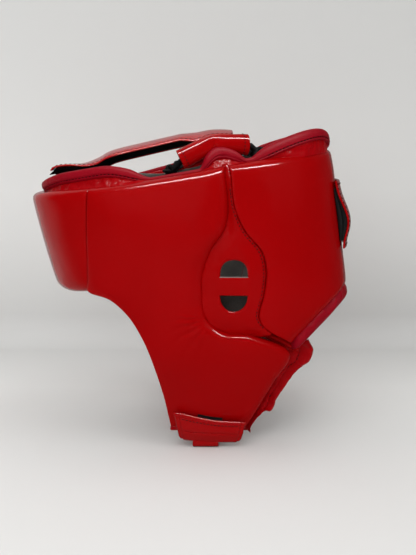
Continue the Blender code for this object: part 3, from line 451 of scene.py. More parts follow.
def meshPiece(name, points, faces, material, sharp=None):
    mesh = bpy.data.meshes.new(name)
    mesh.from_pydata(np.asarray(points).reshape(-1, 3).tolist(), [], faces)
    faceOutward(mesh, weld=1e-7)
    mesh.shade_smooth()
    if sharp:
        mesh.set_sharp_from_angle(angle=math.radians(sharp))
    piece = addObject(name, mesh)
    piece.data.materials.append(material)
    return piece


def gridFaces(rows, cols, start=0, flip=False, closed=False):
    faces = []
    for i in range(rows - 1):
        for j in range(cols if closed else cols - 1):
            n = (j + 1) % cols
            quad = (start + i * cols + j, start + i * cols + n, start + (i + 1) * cols + n, start + (i + 1) * cols + j)
            faces.append(quad[::-1] if flip else quad)
    return faces


def tubeFaces(rows, around, start=0):
    # rings joined into a tube with flat ends
    faces = gridFaces(rows, around, start, closed=True)
    faces.append(tuple(start + k for k in range(around - 1, -1, -1)))
    faces.append(tuple(start + (rows - 1) * around + k for k in range(around)))
    return faces


def borderLoop(rows, cols):
    loop = [(0, j) for j in range(cols)] + [(i, cols - 1) for i in range(1, rows)]
    loop += [(rows - 1, j) for j in range(cols - 2, -1, -1)] + [(i, 0) for i in range(rows - 2, 0, -1)]
    return loop


def mirrored(points, side):
    return points * np.array([side, 1.0, 1.0])


def slab(name, grid, half, material, side=1):
    # a sheet with rounded edges around a grid of middle points
    grid = np.asarray(grid, float)
    rows, cols = grid.shape[:2]
    normals = surfaceNormals(grid)
    half = np.broadcast_to(half, (rows, cols)).copy()
    loop = borderLoop(rows, cols)
    for i, j in loop:
        half[i, j] = 0.0
    upper = grid + normals * half[..., None]
    lower = grid - normals * half[..., None]
    points = np.concatenate([upper.reshape(-1, 3), lower.reshape(-1, 3)])
    faces = gridFaces(rows, cols) + gridFaces(rows, cols, rows * cols, flip=True)
    return meshPiece(name, mirrored(points, side), faces, material)


def rimmed(count, length, thickness):
    # shares along a run, crowded at both ends for a rounded edge, and the half thickness there
    radius = min(0.5 * thickness, 0.2 * length)
    steps = radius * np.array([0.0, 0.08, 0.3, 1.0])
    run = np.concatenate([steps, np.linspace(radius, length - radius, count + 2)[1:-1], length - steps[::-1]])
    return run / length, np.minimum(run, length - run)


def slabFrom(name, surface, size, thickness, material, side=1, spacing=0.002):
    # surface(u, v) gives middle points for arrays of shares; size is the run along u and v
    us, nearU = rimmed(max(3, int(size[0] / spacing)), size[0], thickness)
    vs, nearV = rimmed(max(3, int(size[1] / spacing)), size[1], thickness)
    grid = surface(*np.meshgrid(us, vs, indexing="ij"))
    near = np.minimum(nearU[:, None], nearV[None, :])
    radius = 0.5 * thickness
    inside = np.clip(1.0 - near / radius, 0.0, 1.0)
    half = radius * np.sqrt(np.maximum(0.0, 1.0 - inside ** 2))
    return slab(name, grid, half, material, side), grid


def pathFrames(path):
    tangent = unit(np.gradient(path, axis=0))
    side = np.zeros_like(path)
    guess = np.array([0.0, 0.0, 1.0]) if abs(tangent[0][2]) < 0.9 else np.array([1.0, 0.0, 0.0])
    for k, t in enumerate(tangent):
        guess = guess - t * np.dot(guess, t)
        guess /= np.linalg.norm(guess)
        side[k] = guess
    return side, np.cross(tangent, side)


def tubePoints(path, radius, around, shape=None):
    # rings around a path; shape(share along, turn) scales the radius
    up, out = pathFrames(path)
    turn = np.linspace(0.0, 2.0 * math.pi, around, endpoint=False)
    along = np.linspace(0.0, 1.0, len(path))
    scale = np.ones((len(path), around)) if shape is None else shape(along[:, None], turn[None, :])
    radius = np.broadcast_to(np.asarray(radius, float).reshape(-1, 1), (len(path), 1))
    ring = up[:, None, :] * np.cos(turn)[None, :, None] + out[:, None, :] * np.sin(turn)[None, :, None]
    return path[:, None, :] + ring * (radius * scale)[..., None]


def tubePiece(name, path, radius, material, side, around, shape=None):
    # a tube with round ends
    steps = np.array([0.0, 0.35, 0.7, 0.92])
    reach = np.sqrt(1.0 - steps ** 2)
    tangent = unit(np.gradient(path, axis=0))
    head = [path[0] - tangent[0] * radius * r for r in reach]
    tail = [path[-1] + tangent[-1] * radius * r for r in reach[::-1]]
    end = radius * np.maximum(steps, 0.02)
    size = np.concatenate([end, np.full(len(path), radius), end[::-1]])
    path = np.concatenate([head, path, tail])
    rings = tubePoints(path, size, around, shape)
    return meshPiece(name, mirrored(rings.reshape(-1, 3), side), tubeFaces(len(path), around), material)


def carry(piece, body, *nodes):
    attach(piece, body)
    if nodes:
        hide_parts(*nodes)


def strapPiece(name, surface, size, thickness, body, node, side=1, spacing=0.002, material=strapLeather):
    piece, _ = slabFrom(name, surface, size, thickness, material, side, spacing)
    carry(piece, body, node)


def tapePiece(name, surface, size, thickness, body, node, side=1):
    piece, _ = slabFrom(name, surface, size, thickness, loopPile, side)
    carry(piece, body, node)


def bendRear(piece, word, side, start, end, *nodes):
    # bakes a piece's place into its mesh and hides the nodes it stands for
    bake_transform(piece)
    if nodes:
        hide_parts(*nodes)


words = (("left", 1), ("right", -1))
stitchRuns = {}
thread = {"length": 0.0021, "radius": 0.00040, "lift": 0.0001}


def stitch(body, path, side=1, spacing=0.0036):
    stitchRuns.setdefault((body, spacing), []).append(mirrored(np.asarray(path, float), side))


# padded pieces: drawn over the pattern, blown up by a short cloth simulation, then puckered
padForm = {"spacing": 0.0026, "coarse": 0.0055, "steps": (0.0, 0.03, 0.1, 0.22, 0.4, 0.65, 1.0),
           "seam": (0.0016, 0.0010), "edge": (0.0085, 0.0085), "rim": (0.0052, 0.0060),
           "earFront": (0.0120, 0.0062), "earRear": (0.0020, 0.0003), "cheekEnd": (0.0040, 0.0040),
           "pressure": 3.0, "frames": 20, "mass": 0.25, "stretch": 25.0, "shear": 12.0, "bending": 3.0,
           "cap": 0.0016, "wallRows": 5, "fadeReach": 0.006, "dimple": 0.00022, "dimpleScale": 34.0,
           "pucker": 0.00028, "puckerScale": 230.0, "puckerReach": 0.010}


def padFace(patch, rounds):
    # rounds: how far in and how deep the front, rear, top and bottom edges are rounded
    inset = 0.5 * layers["padGap"]
    angle, z, edges = patchGrid(patch, inset, [r[0] for r in rounds], padForm["spacing"], padForm["steps"])
    top = fullThickness(z) - layers["crown"] + layers["browExtra"] * bump(angle / layers["browReach"])
    lift = top.copy()
    for k, (radius, deep) in enumerate(rounds):
        reach = np.maximum(0.0, 1.0 - edges[..., k] / radius)
        lift = np.minimum(lift, top - deep + deep * np.sqrt(np.maximum(0.0, 1.0 - reach * reach)))
    ease = np.maximum(0.0, 1.0 - edges.min(-1) / layers["crownReach"])
    lift += layers["crown"] * (1.0 - ease * ease)
    return angle, z, edges, lift


def pickLines(count, every):
    lines = list(range(0, count, every))
    if lines[-1] != count - 1:
        lines[-1 if count - 1 - lines[-1] < 0.6 * every else len(lines):] = [count - 1]
    return np.array(lines)


def blowUp(name, face, foot):
    # cloth under pressure on a coarser copy; returns how far each point of the fine face moves
    every = max(1, int(round(padForm["coarse"] / padForm["spacing"])))
    rowPick, colPick = pickLines(face.shape[0], every), pickLines(face.shape[1], every)
    start = face[np.ix_(rowPick, colPick)]
    back = foot[np.ix_(rowPick, colPick)]
    rows, cols = start.shape[:2]
    count = rows * cols
    loop = [i * cols + j for i, j in borderLoop(rows, cols)]
    faces = gridFaces(rows, cols) + gridFaces(rows, cols, count, flip=True)
    faces += [(loop[k], loop[k - 1], loop[k - 1] + count, loop[k] + count) for k in range(len(loop))]
    mesh = bpy.data.meshes.new(name + "Cloth")
    mesh.from_pydata(np.concatenate([start.reshape(-1, 3), back.reshape(-1, 3)]).tolist(), [], faces)
    faceOutward(mesh)
    cloth = addObject(name + "Cloth", mesh)
    held = cloth.vertex_groups.new(name="held")
    held.add(loop + list(range(count, 2 * count)), 1.0, "REPLACE")
    blow = cloth.modifiers.new("blow", "CLOTH")
    settings = blow.settings
    settings.vertex_group_mass = "held"
    settings.use_pressure = True
    settings.uniform_pressure_force = padForm["pressure"]
    settings.effector_weights.gravity = 0.0
    settings.mass = padForm["mass"]
    settings.tension_stiffness = settings.compression_stiffness = padForm["stretch"]
    settings.shear_stiffness = padForm["shear"]
    settings.bending_stiffness = padForm["bending"]
    blow.collision_settings.use_collision = False
    for number in range(1, padForm["frames"] + 1):
        scene.frame_set(number)
    made = cloth.evaluated_get(bpy.context.evaluated_depsgraph_get()).to_mesh()
    moved = np.array([v.co[:] for v in made.vertices])[:count].reshape(rows, cols, 3) - start
    scene.frame_set(1)
    bpy.data.objects.remove(cloth, do_unlink=True)
    length = np.linalg.norm(moved, axis=-1, keepdims=True)
    moved *= padForm["cap"] * np.tanh(length / padForm["cap"]) / np.maximum(length, 1e-9)
    rowAt = np.interp(np.arange(face.shape[0]), rowPick, np.arange(rows))
    colAt = np.interp(np.arange(face.shape[1]), colPick, np.arange(cols))
    moved = catmull(moved, rowAt)
    return np.swapaxes(catmull(np.swapaxes(moved, 0, 1), colAt), 0, 1)


def makePad(name, patch, rounds, sides, creases=None, material=padLeather):
    angle, z, edges, lift = padFace(patch, rounds)
    face = headPoint(angle, z, lift)
    foot = headPoint(angle, z, padBase)
    face = face + blowUp(name, face, foot)
    rows, cols = face.shape[:2]
    normals = surfaceNormals(face)
    if np.dot(normals[rows // 2, cols // 2], (face - foot)[rows // 2, cols // 2]) < 0.0:
        normals = -normals
    near = edges.min(-1)
    fade = smooth(near / padForm["fadeReach"])
    swell = padForm["dimple"] * fractal(face, padForm["dimpleScale"], 1) * fade
    gather = fractal(face, padForm["puckerScale"], 2, 2) * np.exp(-near / padForm["puckerReach"]) * fade
    swell = swell + padForm["pucker"] * gather
    if creases is not None:
        swell = swell + creases(face)
    face = face + normals * swell[..., None]
    loop = borderLoop(rows, cols)
    ring = np.array([i * cols + j for i, j in loop])
    edge = face.reshape(-1, 3)[ring]
    base = foot.reshape(-1, 3)[ring]
    count = len(ring)
    points = [face.reshape(-1, 3)]
    faces = gridFaces(rows, cols)
    last = ring
    start = rows * cols
    for k in range(1, padForm["wallRows"]):
        points.append(mix(edge, base, k / padForm["wallRows"]))
        fresh = np.arange(start, start + count)
        faces += [(last[j - 1], last[j], fresh[j], fresh[j - 1]) for j in range(count)]
        last, start = fresh, start + count
    points.append(foot.reshape(-1, 3))
    under = ring + start
    faces += [(last[j - 1], last[j], under[j], under[j - 1]) for j in range(count)]
    faces += gridFaces(rows, cols, start, flip=True)
    faces = [tuple(int(v) for v in f) for f in faces]
    points = np.concatenate(points)
    return [meshPiece(label, mirrored(points, side), faces, material) for label, side in sides]


seam, rim, rounded = padForm["seam"], padForm["rim"], padForm["edge"]
foreheadRounds = (seam, seam, rim, rounded)
sideRounds = (seam, padForm["earFront"], rim, padForm["cheekEnd"])
rearRounds = (padForm["earRear"], rounded, rim, rounded)


# start of each crease in side view, its direction in degrees, its length, width and depth
cheekCreases = [(0.0080, 0.118, 200, 0.030, 0.0040, 0.0007), (0.0105, 0.104, 215, 0.034, 0.0045, 0.0008),
                (0.0190, 0.096, 238, 0.030, 0.0045, 0.0007), (0.0330, 0.090, 262, 0.024, 0.0050, 0.0006)]


def sideCreases(points):
    # soft creases that run from the lower end of the ear panel into the cheek
    y, z = points[..., 1], points[..., 2]
    total = np.zeros_like(y)
    for y0, z0, turn, length, wide, deep in cheekCreases:
        run = np.array([math.cos(math.radians(turn)), math.sin(math.radians(turn))])
        along = (y - y0) * run[0] + (z - z0) * run[1]
        off = -(y - y0) * run[1] + (z - z0) * run[0] + 0.10 * along ** 2 / length
        total -= deep * np.exp(-(off / wide) ** 2) * smooth((along + 0.006) / 0.008) * (1.0 - smooth(along / length))
    return total


pad, = makePad("foreheadPad", foreheadPatch, foreheadRounds, [("foreheadPad", 1)])
carry(pad, "shell", "forehead_cover", "forehead_foam")
pads = makePad("sidePad", sidePatch, sideRounds, [(word + "SidePad", side) for word, side in words],
               sideCreases, sideLeather)
for pad, (word, _) in zip(pads, words):
    carry(pad, "shell", word + "_side_cover", word + "_side_foam")
pads = makePad("rearPad", rearPatch, rearRounds, [(word + "RearPad", side) for word, side in words])
for pad, (word, _) in zip(pads, words):
    carry(pad, word + "_rear", word + "_rear_cover", word + "_rear_foam")
print("pads made")

# linings: suede sheets behind the pads, with hems past the jaw and the neck
liner = {"spacing": 0.0045, "neckHem": 0.0040, "neckReach": 0.33, "collarShare": 0.5,
         "jawHem": [(0.0220, 0.0), (0.0239, 0.0070), (0.0527, 0.0125), (0.0770, 0.0165)], "jawFade": 0.0090,
         "earLow": 0.0960, "earHigh": 0.1285, "earLap": 0.04, "earOut": 0.0012, "earWave": 0.0004,
         "earHalf": 0.0008, "wave": 0.0002, "waveScale": 45.0}


def jawHem(z):
    heights, widths = np.array(liner["jawHem"]).T
    fade = bump(np.maximum(0.0, z - heights[-1]) / liner["jawFade"])
    return np.interp(z, heights, widths) * fade


def neckHem(share):
    return liner["neckHem"] * np.minimum(1.0, share / liner["neckReach"])


def liningGrid(patch, rounds, raiseTop, sideHem, lowHem):
    angle, z, _ = patchGrid(patch, layers["seamGap"], [r[0] for r in rounds], liner["spacing"], (0.0, 1.0))
    share = np.linspace(0.0, 1.0, angle.shape[1])
    steps = np.linspace(1.0, 0.0, 4)[:-1]
    if raiseTop is not None:
        top = [z[0] + liner["collarShare"] * raiseTop(angle[0]) * f for f in steps]
        angle = np.concatenate([np.repeat(angle[:1], len(top), 0), angle])
        z = np.concatenate([np.array(top), z])
    if lowHem is not None:
        low = [z[-1] - lowHem(share) * f for f in steps[::-1]]
        angle = np.concatenate([angle, np.repeat(angle[-1:], len(low), 0)])
        z = np.concatenate([z, np.array(low)])
    if sideHem is not None:
        reach = sideHem(z[:, -1]) / (halfWidth(z[:, -1]) + layers["lining"])
        angle = np.concatenate([angle] + [(angle[:, -1] + reach * f)[:, None] for f in steps[::-1]], 1)
        z = np.concatenate([z] + [z[:, -1:]] * len(steps), 1)
    middle = headPoint(angle, z, 0.5 * layers["lining"])
    wave = liner["wave"] * fractal(middle, liner["waveScale"], 5)
    return headPoint(angle, z, 0.5 * layers["lining"] + wave)


def makeLining(name, grid, body, node, side=1):
    piece = slab(name, grid, 0.5 * layers["lining"], greySuede, side)
    carry(piece, body, node)


# collar: a gathered gusset above the rim with a soft bound edge
collar = {"foot": 0.0155, "low": 0.0012, "frontRise": 0.0115, "frontDip": 0.50, "dipReach": math.radians(48),
          "sag": [(-0.0725, 0.0050), (-0.0600, 0.0024), (-0.0160, 0.0042), (0.0050, 0.0036)], "earRise": 0.0106,
          "earY": 0.0290, "earReach": 0.0225, "earFall": 0.030, "templeReach": 0.053, "rearRise": 0.0116,
          "rearAngle": math.radians(147), "rearReach": math.radians(30), "rearFall": math.radians(28),
          "rearLow": 0.0024, "rearSpread": math.radians(45), "frontOut": 0.0074, "sideOut": 0.0066,
          "rearOut": 0.0232, "lip": 0.0060, "footLimit": 0.0222, "rightShare": 0.78, "gather": 0.0010,
          "gatherAlong": 290.0, "gatherUp": 210.0, "spacing": 0.0011, "bindHalf": 0.0036, "bindUp": 0.0042,
          "bindWrinkle": 0.00018, "bindGroove": 0.0011, "stitchShare": 0.72, "stitchDrop": 0.0019,
          "rearTail": 1.55, "bindLeast": 0.42, "bindFrom": 0.001, "bindReach": 0.0055, "bindSquare": 0.75,
          "bindSink": 0.0016, "grooveAt": math.radians(340), "grooveHalf": 0.22,
          "crumple": (190.0, 190.0, 120.0)}
browAngle, earAngle, neckAngle = browLine[0][0], earFrontLine[0][0], earRearLine[0][0]


def shellRise(angle):
    # the left side stands up, the right side sags a little
    turn = np.abs(angle)
    y = headPoint(turn, headForm["rimHeight"], padOut)[..., 1]
    rise, dip = collar["frontRise"], collar["frontDip"]
    front = rise * mix(dip, 1.0, smooth(turn / collar["dipReach"]))
    temple = rise * bump((y - pattern["browSeam"][0][0]) / collar["templeReach"])
    left = np.where(turn < browAngle, front, temple)
    places, heights = np.array(collar["sag"]).T
    sagging = mix(rise * dip, heights[0], smooth(turn / browAngle))
    right = np.where(turn < browAngle, sagging, np.interp(y, places, heights))
    ear = collar["earRise"] * bump((y - collar["earY"]) / collar["earReach"])
    ear = np.where(turn < browAngle, 0.0, ear)
    return np.maximum(collar["low"], np.maximum(np.where(angle < 0.0, right, left), ear))


def rearRise(angle):
    y = headPoint(angle, headForm["rimHeight"], padOut)[..., 1]
    ear = collar["earRise"] * bump((y - collar["earY"]) / collar["earFall"])
    past = angle - collar["rearAngle"]
    reach = np.where(past < 0.0, collar["rearReach"], collar["rearFall"])
    back = collar["rearRise"] * np.sqrt(bump(past / reach))
    return np.maximum(collar["rearLow"] + back, ear)


def lowRearRise(angle):
    return collar["rightShare"] * rearRise(angle)


def shellOut(angle):
    share = np.minimum(1.0, np.abs(angle) / browAngle) ** 2
    return mix(collar["frontOut"], collar["sideOut"], share)


def rearOut(angle):
    past = angle - collar["rearAngle"]
    share = bump(past / (collar["rearSpread"] * np.where(past < 0.0, 1.0, collar["rearTail"])))
    return mix(collar["sideOut"], collar["rearOut"], share)


def evenAngles(start, end, spacing):
    angles = np.linspace(start, end, 400)
    path = headPoint(angles, rimHeight(angles), padOut)
    steps = travelled(path)
    return np.interp(np.linspace(0.0, steps[-1], int(steps[-1] / spacing)), steps, angles)


def closedLoft(name, rings, material, side=1):
    faces = tubeFaces(*rings.shape[:2])
    return meshPiece(name, mirrored(rings.reshape(-1, 3), side), faces, material, sharp=60)


def collarRings(angles, rise, out):
    # section from the outer foot over the lip to the inner foot, per angle
    top = out(angles)
    lip = 0.5 * collar["lip"]
    foot = np.minimum(np.clip(collar["foot"], top + 0.0005, top + 0.0055), collar["footLimit"])
    waist = mix(foot, top + 0.3 * lip, 0.70)
    keys = [(foot, 0.0), (waist, 0.42), (top + 0.3 * lip, 0.80), (top, 1.0), (top - lip, 0.86),
            (0.5 * (top - lip + padBase), 0.45), (padBase, 0.0)]
    section = catmullRun([np.stack([across + 0.0 * top, up + 0.0 * top], -1) for across, up in keys], 30)
    where, up = section[..., 0].T, section[..., 1].T
    angle = angles[:, None] + 0.0 * where
    z = rimHeight(angle) - 0.0008 + (rise(angle) + 0.0006) * up
    rings = headPoint(angle, z, where)
    along = collar["gatherAlong"]
    ripple = fractal(rings, (along, along, collar["gatherUp"]), 7)
    strength = collar["gather"] * np.sin(math.pi * np.clip(up, 0.0, 1.0)) * smooth(rise(angle) / 0.006)
    return headPoint(angle, z, where + ripple * strength)


def bindFull(height):
    # the bound edge is slimmer where the collar is low
    return mix(collar["bindLeast"], 1.0, smooth((height - collar["bindFrom"]) / collar["bindReach"]))


def bindingRings(angles, rise, out):
    turn = np.linspace(0.0, 2.0 * math.pi, 44, endpoint=False)
    height = rise(angles)
    full = bindFull(height)
    half = (collar["bindHalf"] * full)[:, None]
    tall = (collar["bindUp"] * full)[:, None]
    groove = bump((turn - collar["grooveAt"]) / collar["grooveHalf"])
    square = collar["bindSquare"]
    across = half * signedPower(np.cos(turn), square) - collar["bindGroove"] * full[:, None] * groove
    up = tall * signedPower(np.sin(turn), square)
    z = (rimHeight(angles) + height - collar["bindSink"] * (1.0 - full))[:, None] + up
    angle = angles[:, None] + 0.0 * z
    points = headPoint(angle, z, out(angles)[:, None] + across)
    crumple = collar["bindWrinkle"] * fractal(points, collar["crumple"], 9, 2)
    return headPoint(angle, z, out(angles)[:, None] + across + crumple * full[:, None])


def bindingStitch(angles, rise, out):
    height = rise(angles)
    outer = out(angles) + collar["stitchShare"] * collar["bindHalf"] * bindFull(height)
    return headPoint(angles, rimHeight(angles) + height - collar["stitchDrop"], outer)


makeLining("foreheadLining", liningGrid(foreheadPatch, foreheadRounds, shellRise, None, None),
           "shell", "forehead_lining")
sideLining = liningGrid(sidePatch, sideRounds, shellRise, jawHem, None)
rearLining = liningGrid(rearPatch, rearRounds, rearRise, None, neckHem)
for word, side in words:
    makeLining(word + "SideLining", sideLining, "shell", word + "_side_lining", side)
    makeLining(word + "RearLining", rearLining, word + "_rear", word + "_rear_lining", side)


def earLiningGrid():
    # suede behind the lower ear hole, from pad to pad
    z = np.linspace(liner["earLow"], liner["earHigh"], 12)
    front, rear = (np.interp(z, line[1:-1, 1][::-1], line[1:-1, 0][::-1]) for line in (earFrontLine, earRearLine))
    lap = liner["earLap"]
    angle = mix((front - lap)[:, None], (rear + lap)[:, None], np.linspace(0.0, 1.0, 16)[None, :])
    z = z[:, None] + 0.0 * angle
    wave = liner["earWave"] * fractal(headPoint(angle, z, 0.0), liner["waveScale"], 6)
    return headPoint(angle, z, layers["lining"] + liner["earOut"] + wave)


# points at the ear and at the collar between the shell and a rear half, handed to bendRear
rearBend = {"front": 0.027, "rear": 0.048, "earHeight": 0.150, "earOut": 0.012, "collarHeight": 0.210}


def bendEnds(height, out):
    return [sidePoint(rearBend[name], height, out) for name in ("front", "rear")]


earBend = bendEnds(rearBend["earHeight"], rearBend["earOut"])
collarBend = bendEnds(rearBend["collarHeight"], padOut)
earLining = earLiningGrid()
for word, side in words:
    piece = slab(word + "EarLining", earLining, liner["earHalf"], greySuede, side)
    bendRear(piece, word, side, *earBend)
print("linings made")

shellAngles = evenAngles(-earAngle - 0.03, earAngle + 0.03, collar["spacing"])
piece = closedLoft("shellCollar", collarRings(shellAngles, shellRise, shellOut), collarLeather)
carry(piece, "shell", "front_collar", "left_side_collar", "right_side_collar")
piece = closedLoft("shellBinding", bindingRings(shellAngles, shellRise, shellOut), bindingLeather)
carry(piece, "shell", "front_binding", "left_side_binding", "right_side_binding")
frontAngles = shellAngles[np.abs(shellAngles) < browAngle + 0.35]
stitch("shell", bindingStitch(frontAngles, shellRise, shellOut), spacing=0.0030)
rearAngles = evenAngles(earAngle + 0.02, backLine[0][0], collar["spacing"])
for word, side in words:
    rise = rearRise if side > 0 else lowRearRise
    rings = collarRings(rearAngles, rise, rearOut)
    piece = closedLoft(word + "RearCollar", rings, collarLeather, side)
    bendRear(piece, word, side, *collarBend, word + "_rear_collar")
    rings = bindingRings(rearAngles, rise, rearOut)
    piece = closedLoft(word + "RearBinding", rings, bindingLeather, side)
    bendRear(piece, word, side, *collarBend, word + "_rear_binding")
    lateAngles = rearAngles[rearAngles > neckAngle + 0.30]
    stitch(word + "_rear", bindingStitch(lateAngles, rise, rearOut), side, spacing=0.0030)
print("collars made")

# hems: a soft leather flange behind the jaw, and a roll under each rear pad
hem = {"jawEdge": [(142, 0.0800, 0.0805, 0.0), (142, 0.0742, 0.0765, 0.0), (140.5, 0.0678, 0.0720, 0.0),
                   (137, 0.0625, 0.0685, 0.0), (129, 0.0579, 0.0650, 0.0), (123, 0.0511, 0.0585, 0.0),
                   (117.6, 0.0426, 0.0490, 0.0), (113, 0.0345, 0.0400, 0.0), (111.5, 0.0276, 0.0320, 0.0),
                   (109, 0.0250, 0.0285, 0.0010), (105.6, 0.0258, 0.0280, 0.0026),
                   (101.4, 0.0212, 0.0240, 0.0044), (98.4, 0.0152, 0.0185, 0.0054),
                   (97.4, 0.0118, 0.0145, 0.0060), (97.4, 0.0092, 0.0125, 0.0060),
                   (97.2, 0.0062, 0.0100, 0.0060)],
       "section": [(-0.16, 0.0040), (0.0, 0.0046), (0.10, 0.0040), (0.18, 0.0036), (0.26, 0.0052),
                   (0.35, 0.0062), (0.45, 0.0057), (0.53, 0.0036), (0.60, 0.0046), (0.72, 0.0064),
                   (0.85, 0.0060), (0.96, 0.0040), (1.02, 0.0012), (1.0, -0.0006), (0.92, -0.0012),
                   (0.80, -0.0008), (0.55, 0.0008), (0.25, 0.0018), (0.0, 0.0022), (-0.16, 0.0024)],
       "wrinkle": 0.0013, "rollOut": (0.0098, 0.0122), "rollHalf": 0.0114, "rollTall": (0.0066, 0.0100),
       "rollSink": 0.0010, "turnScale": 0.08, "seat": 0.0016, "markOut": 0.0023, "markShare": 0.53}


def roundedEnds(share, reach, least):
    near = np.clip(1.0 - np.minimum(share, 1.0 - share) / reach, 0.0, 1.0)
    return np.sqrt(np.clip(1.0 - near ** 2, least, 1.0))[:, None]


def jawFlange():
    # angle and height of the free edge, the height where it leaves the pad, and how far it stands off
    edge = np.array(hem["jawEdge"])
    scale, seat, at = hem["turnScale"], hem["seat"], hem["markShare"]
    keys = edge * (math.radians(scale), 1.0, 1.0, 1.0)
    outer = evenRun(catmullRun(keys, 160), 0.0010)
    share = np.linspace(0.0, 1.0, len(outer))
    outerAngle, outerZ, innerZ = outer[:, 0] / scale, outer[:, 1], outer[:, 2]
    innerAngle = np.interp(innerZ, jawLine[::-1, 1], jawLine[::-1, 0])
    section = np.array(hem["section"])
    across, out = section[:, 0][None, :], section[:, 1][None, :]
    angle = mix(innerAngle[:, None], outerAngle[:, None], across)
    z = mix(innerZ[:, None], outerZ[:, None], across)
    ends = roundedEnds(share, 0.06, 0.12)
    swell = 1.0 + 0.35 * bump((share - 0.14) / 0.16)[:, None]
    rings = headPoint(angle, z, out)
    folds = hem["wrinkle"] * fractal(rings, (150.0, 150.0, 150.0), 12, 2) * np.where(out > 0.003, 1.0, 0.2)
    stand = seat + outer[:, 3][:, None]
    rings = headPoint(angle, z, stand + (out - seat) * ends * swell + folds)
    mark = headPoint(mix(innerAngle, outerAngle, at), mix(innerZ, outerZ, at),
                     seat + hem["markOut"] * ends[:, 0] * swell[:, 0])
    return rings, mark[6:int(0.66 * len(mark))]


def neckRoll():
    share = np.linspace(0.015, 0.985, 90)
    angle, z = patchAt(rearPatch, rearPatch["last"], share)
    turn = np.linspace(0.0, 2.0 * math.pi, 26, endpoint=False)
    ends = roundedEnds(share, 0.05, 0.02)
    middle, tall = (mix(*hem[name], share)[:, None] for name in ("rollOut", "rollTall"))
    out = middle + hem["rollHalf"] * ends * signedPower(np.cos(turn), 0.8)[None, :]
    up = tall * ends * signedPower(np.sin(turn), 0.8)[None, :]
    angle = angle[:, None] + 0.0 * up
    z = (z - hem["rollSink"])[:, None] + up
    folds = hem["wrinkle"] * fractal(headPoint(angle, z, out), (120.0, 120.0, 120.0), 13, 2)
    return headPoint(angle, z + folds, out + folds)


jawRings, jawMark = jawFlange()
neckRings = neckRoll()
for word, side in words:
    piece = closedLoft(word + "JawBinding", jawRings, collarLeather, side)
    carry(piece, "shell", word + "_jaw_binding")
    stitch("shell", jawMark, side, spacing=0.0030)
    piece = closedLoft(word + "NeckBinding", neckRings, bindingLeather, side)
    carry(piece, word + "_rear", word + "_neck_binding")
print("hems made")

# ear panel: a soft leaf, a little lower than the pads, with two D-shaped holes
leaf = {"thick": 0.0022, "out": 0.0168, "rearUp": 0.0042, "dome": 0.0012, "domeReach": 0.011, "overlap": 0.0018,
        "neckFrom": 0.166, "neckTo": 0.206, "neckOut": 0.0014, "topDrop": 0.0030, "topFrom": 0.207,
        "topReach": 0.007, "holeHalf": 0.0098, "holeTall": 0.0118, "holeY": 0.0324, "barTop": 0.655,
        "barBottom": 0.588, "cut": 0.0006, "spacing": 0.0017, "dent": 0.0005, "stitchIn": 0.0002}


def leafOut(z):
    rise = smooth((z - leaf["neckFrom"]) / (leaf["neckTo"] - leaf["neckFrom"]))
    top = smooth((z - leaf["topFrom"]) / leaf["topReach"])
    return leaf["out"] + leaf["neckOut"] * rise - leaf["topDrop"] * top


def holeLoop(flatZ, direction, inset=0.0):
    turn = np.linspace(0.0, math.pi, 40)
    full = 0.80 if direction > 0 else 0.96
    y = leaf["holeY"] - (leaf["holeHalf"] + inset) * signedPower(np.cos(turn), full)
    z = (leaf["holeTall"] + inset) * signedPower(np.sin(turn), full) - inset
    flat = np.linspace(y[-1], y[0], 18)[1:-1]
    return np.stack([np.r_[y, flat], flatZ + direction * np.r_[z, 0.0 * flat - inset]], -1)


def leafBorder(push):
    # the outline between the pads, moved outwards by push
    sides = []
    for w in (0.0, 1.0):
        line = []
        for u in np.linspace(0.0, earPatch["last"], 110):
            angle, z = patchAt(earPatch, u, [w])
            line.append(headPoint(angle, z, leafOut(z))[0, 1:])
        sides.append(np.array(line))
    loop = np.concatenate([sides[0], sides[1][::-1]])
    loop = evenRun(np.concatenate([loop, loop[:1]]), leaf["spacing"])[:-1]
    run = np.roll(loop, -1, 0) - np.roll(loop, 1, 0)
    away = np.stack([run[:, 1], -run[:, 0]], -1) / np.linalg.norm(run, axis=1, keepdims=True)
    area = np.sum(loop[:, 0] * np.roll(loop[:, 1], -1) - np.roll(loop[:, 0], -1) * loop[:, 1])
    return loop + math.copysign(push, area) * away


def insideLoop(points, loop):
    x, y = points[:, 0][:, None], points[:, 1][:, None]
    a, b = loop, np.roll(loop, -1, 0)
    crosses = (a[:, 1] > y) != (b[:, 1] > y)
    at = (b[:, 0] - a[:, 0]) * (y - a[:, 1]) / np.where(b[:, 1] == a[:, 1], 1e-12, b[:, 1] - a[:, 1]) + a[:, 0]
    return (np.sum(crosses & (x < at), 1) % 2) == 1


def gapTo(points, loop):
    a, b = loop, np.roll(loop, -1, 0)
    run = b - a
    share = np.clip(np.sum((points[:, None] - a) * run, -1) / np.sum(run * run, -1), 0.0, 1.0)
    return np.linalg.norm(points[:, None] - (a + run * share[..., None]), axis=-1).min(1)


def catmullLeaf(line):
    # a seam line in side view, walked there and back to close it
    run = catmullRun(line, 60)
    flat = headPoint(run[:, 0], run[:, 1], leafOut(run[:, 1]))[:, 1:]
    return np.concatenate([flat, flat[-2:0:-1]])


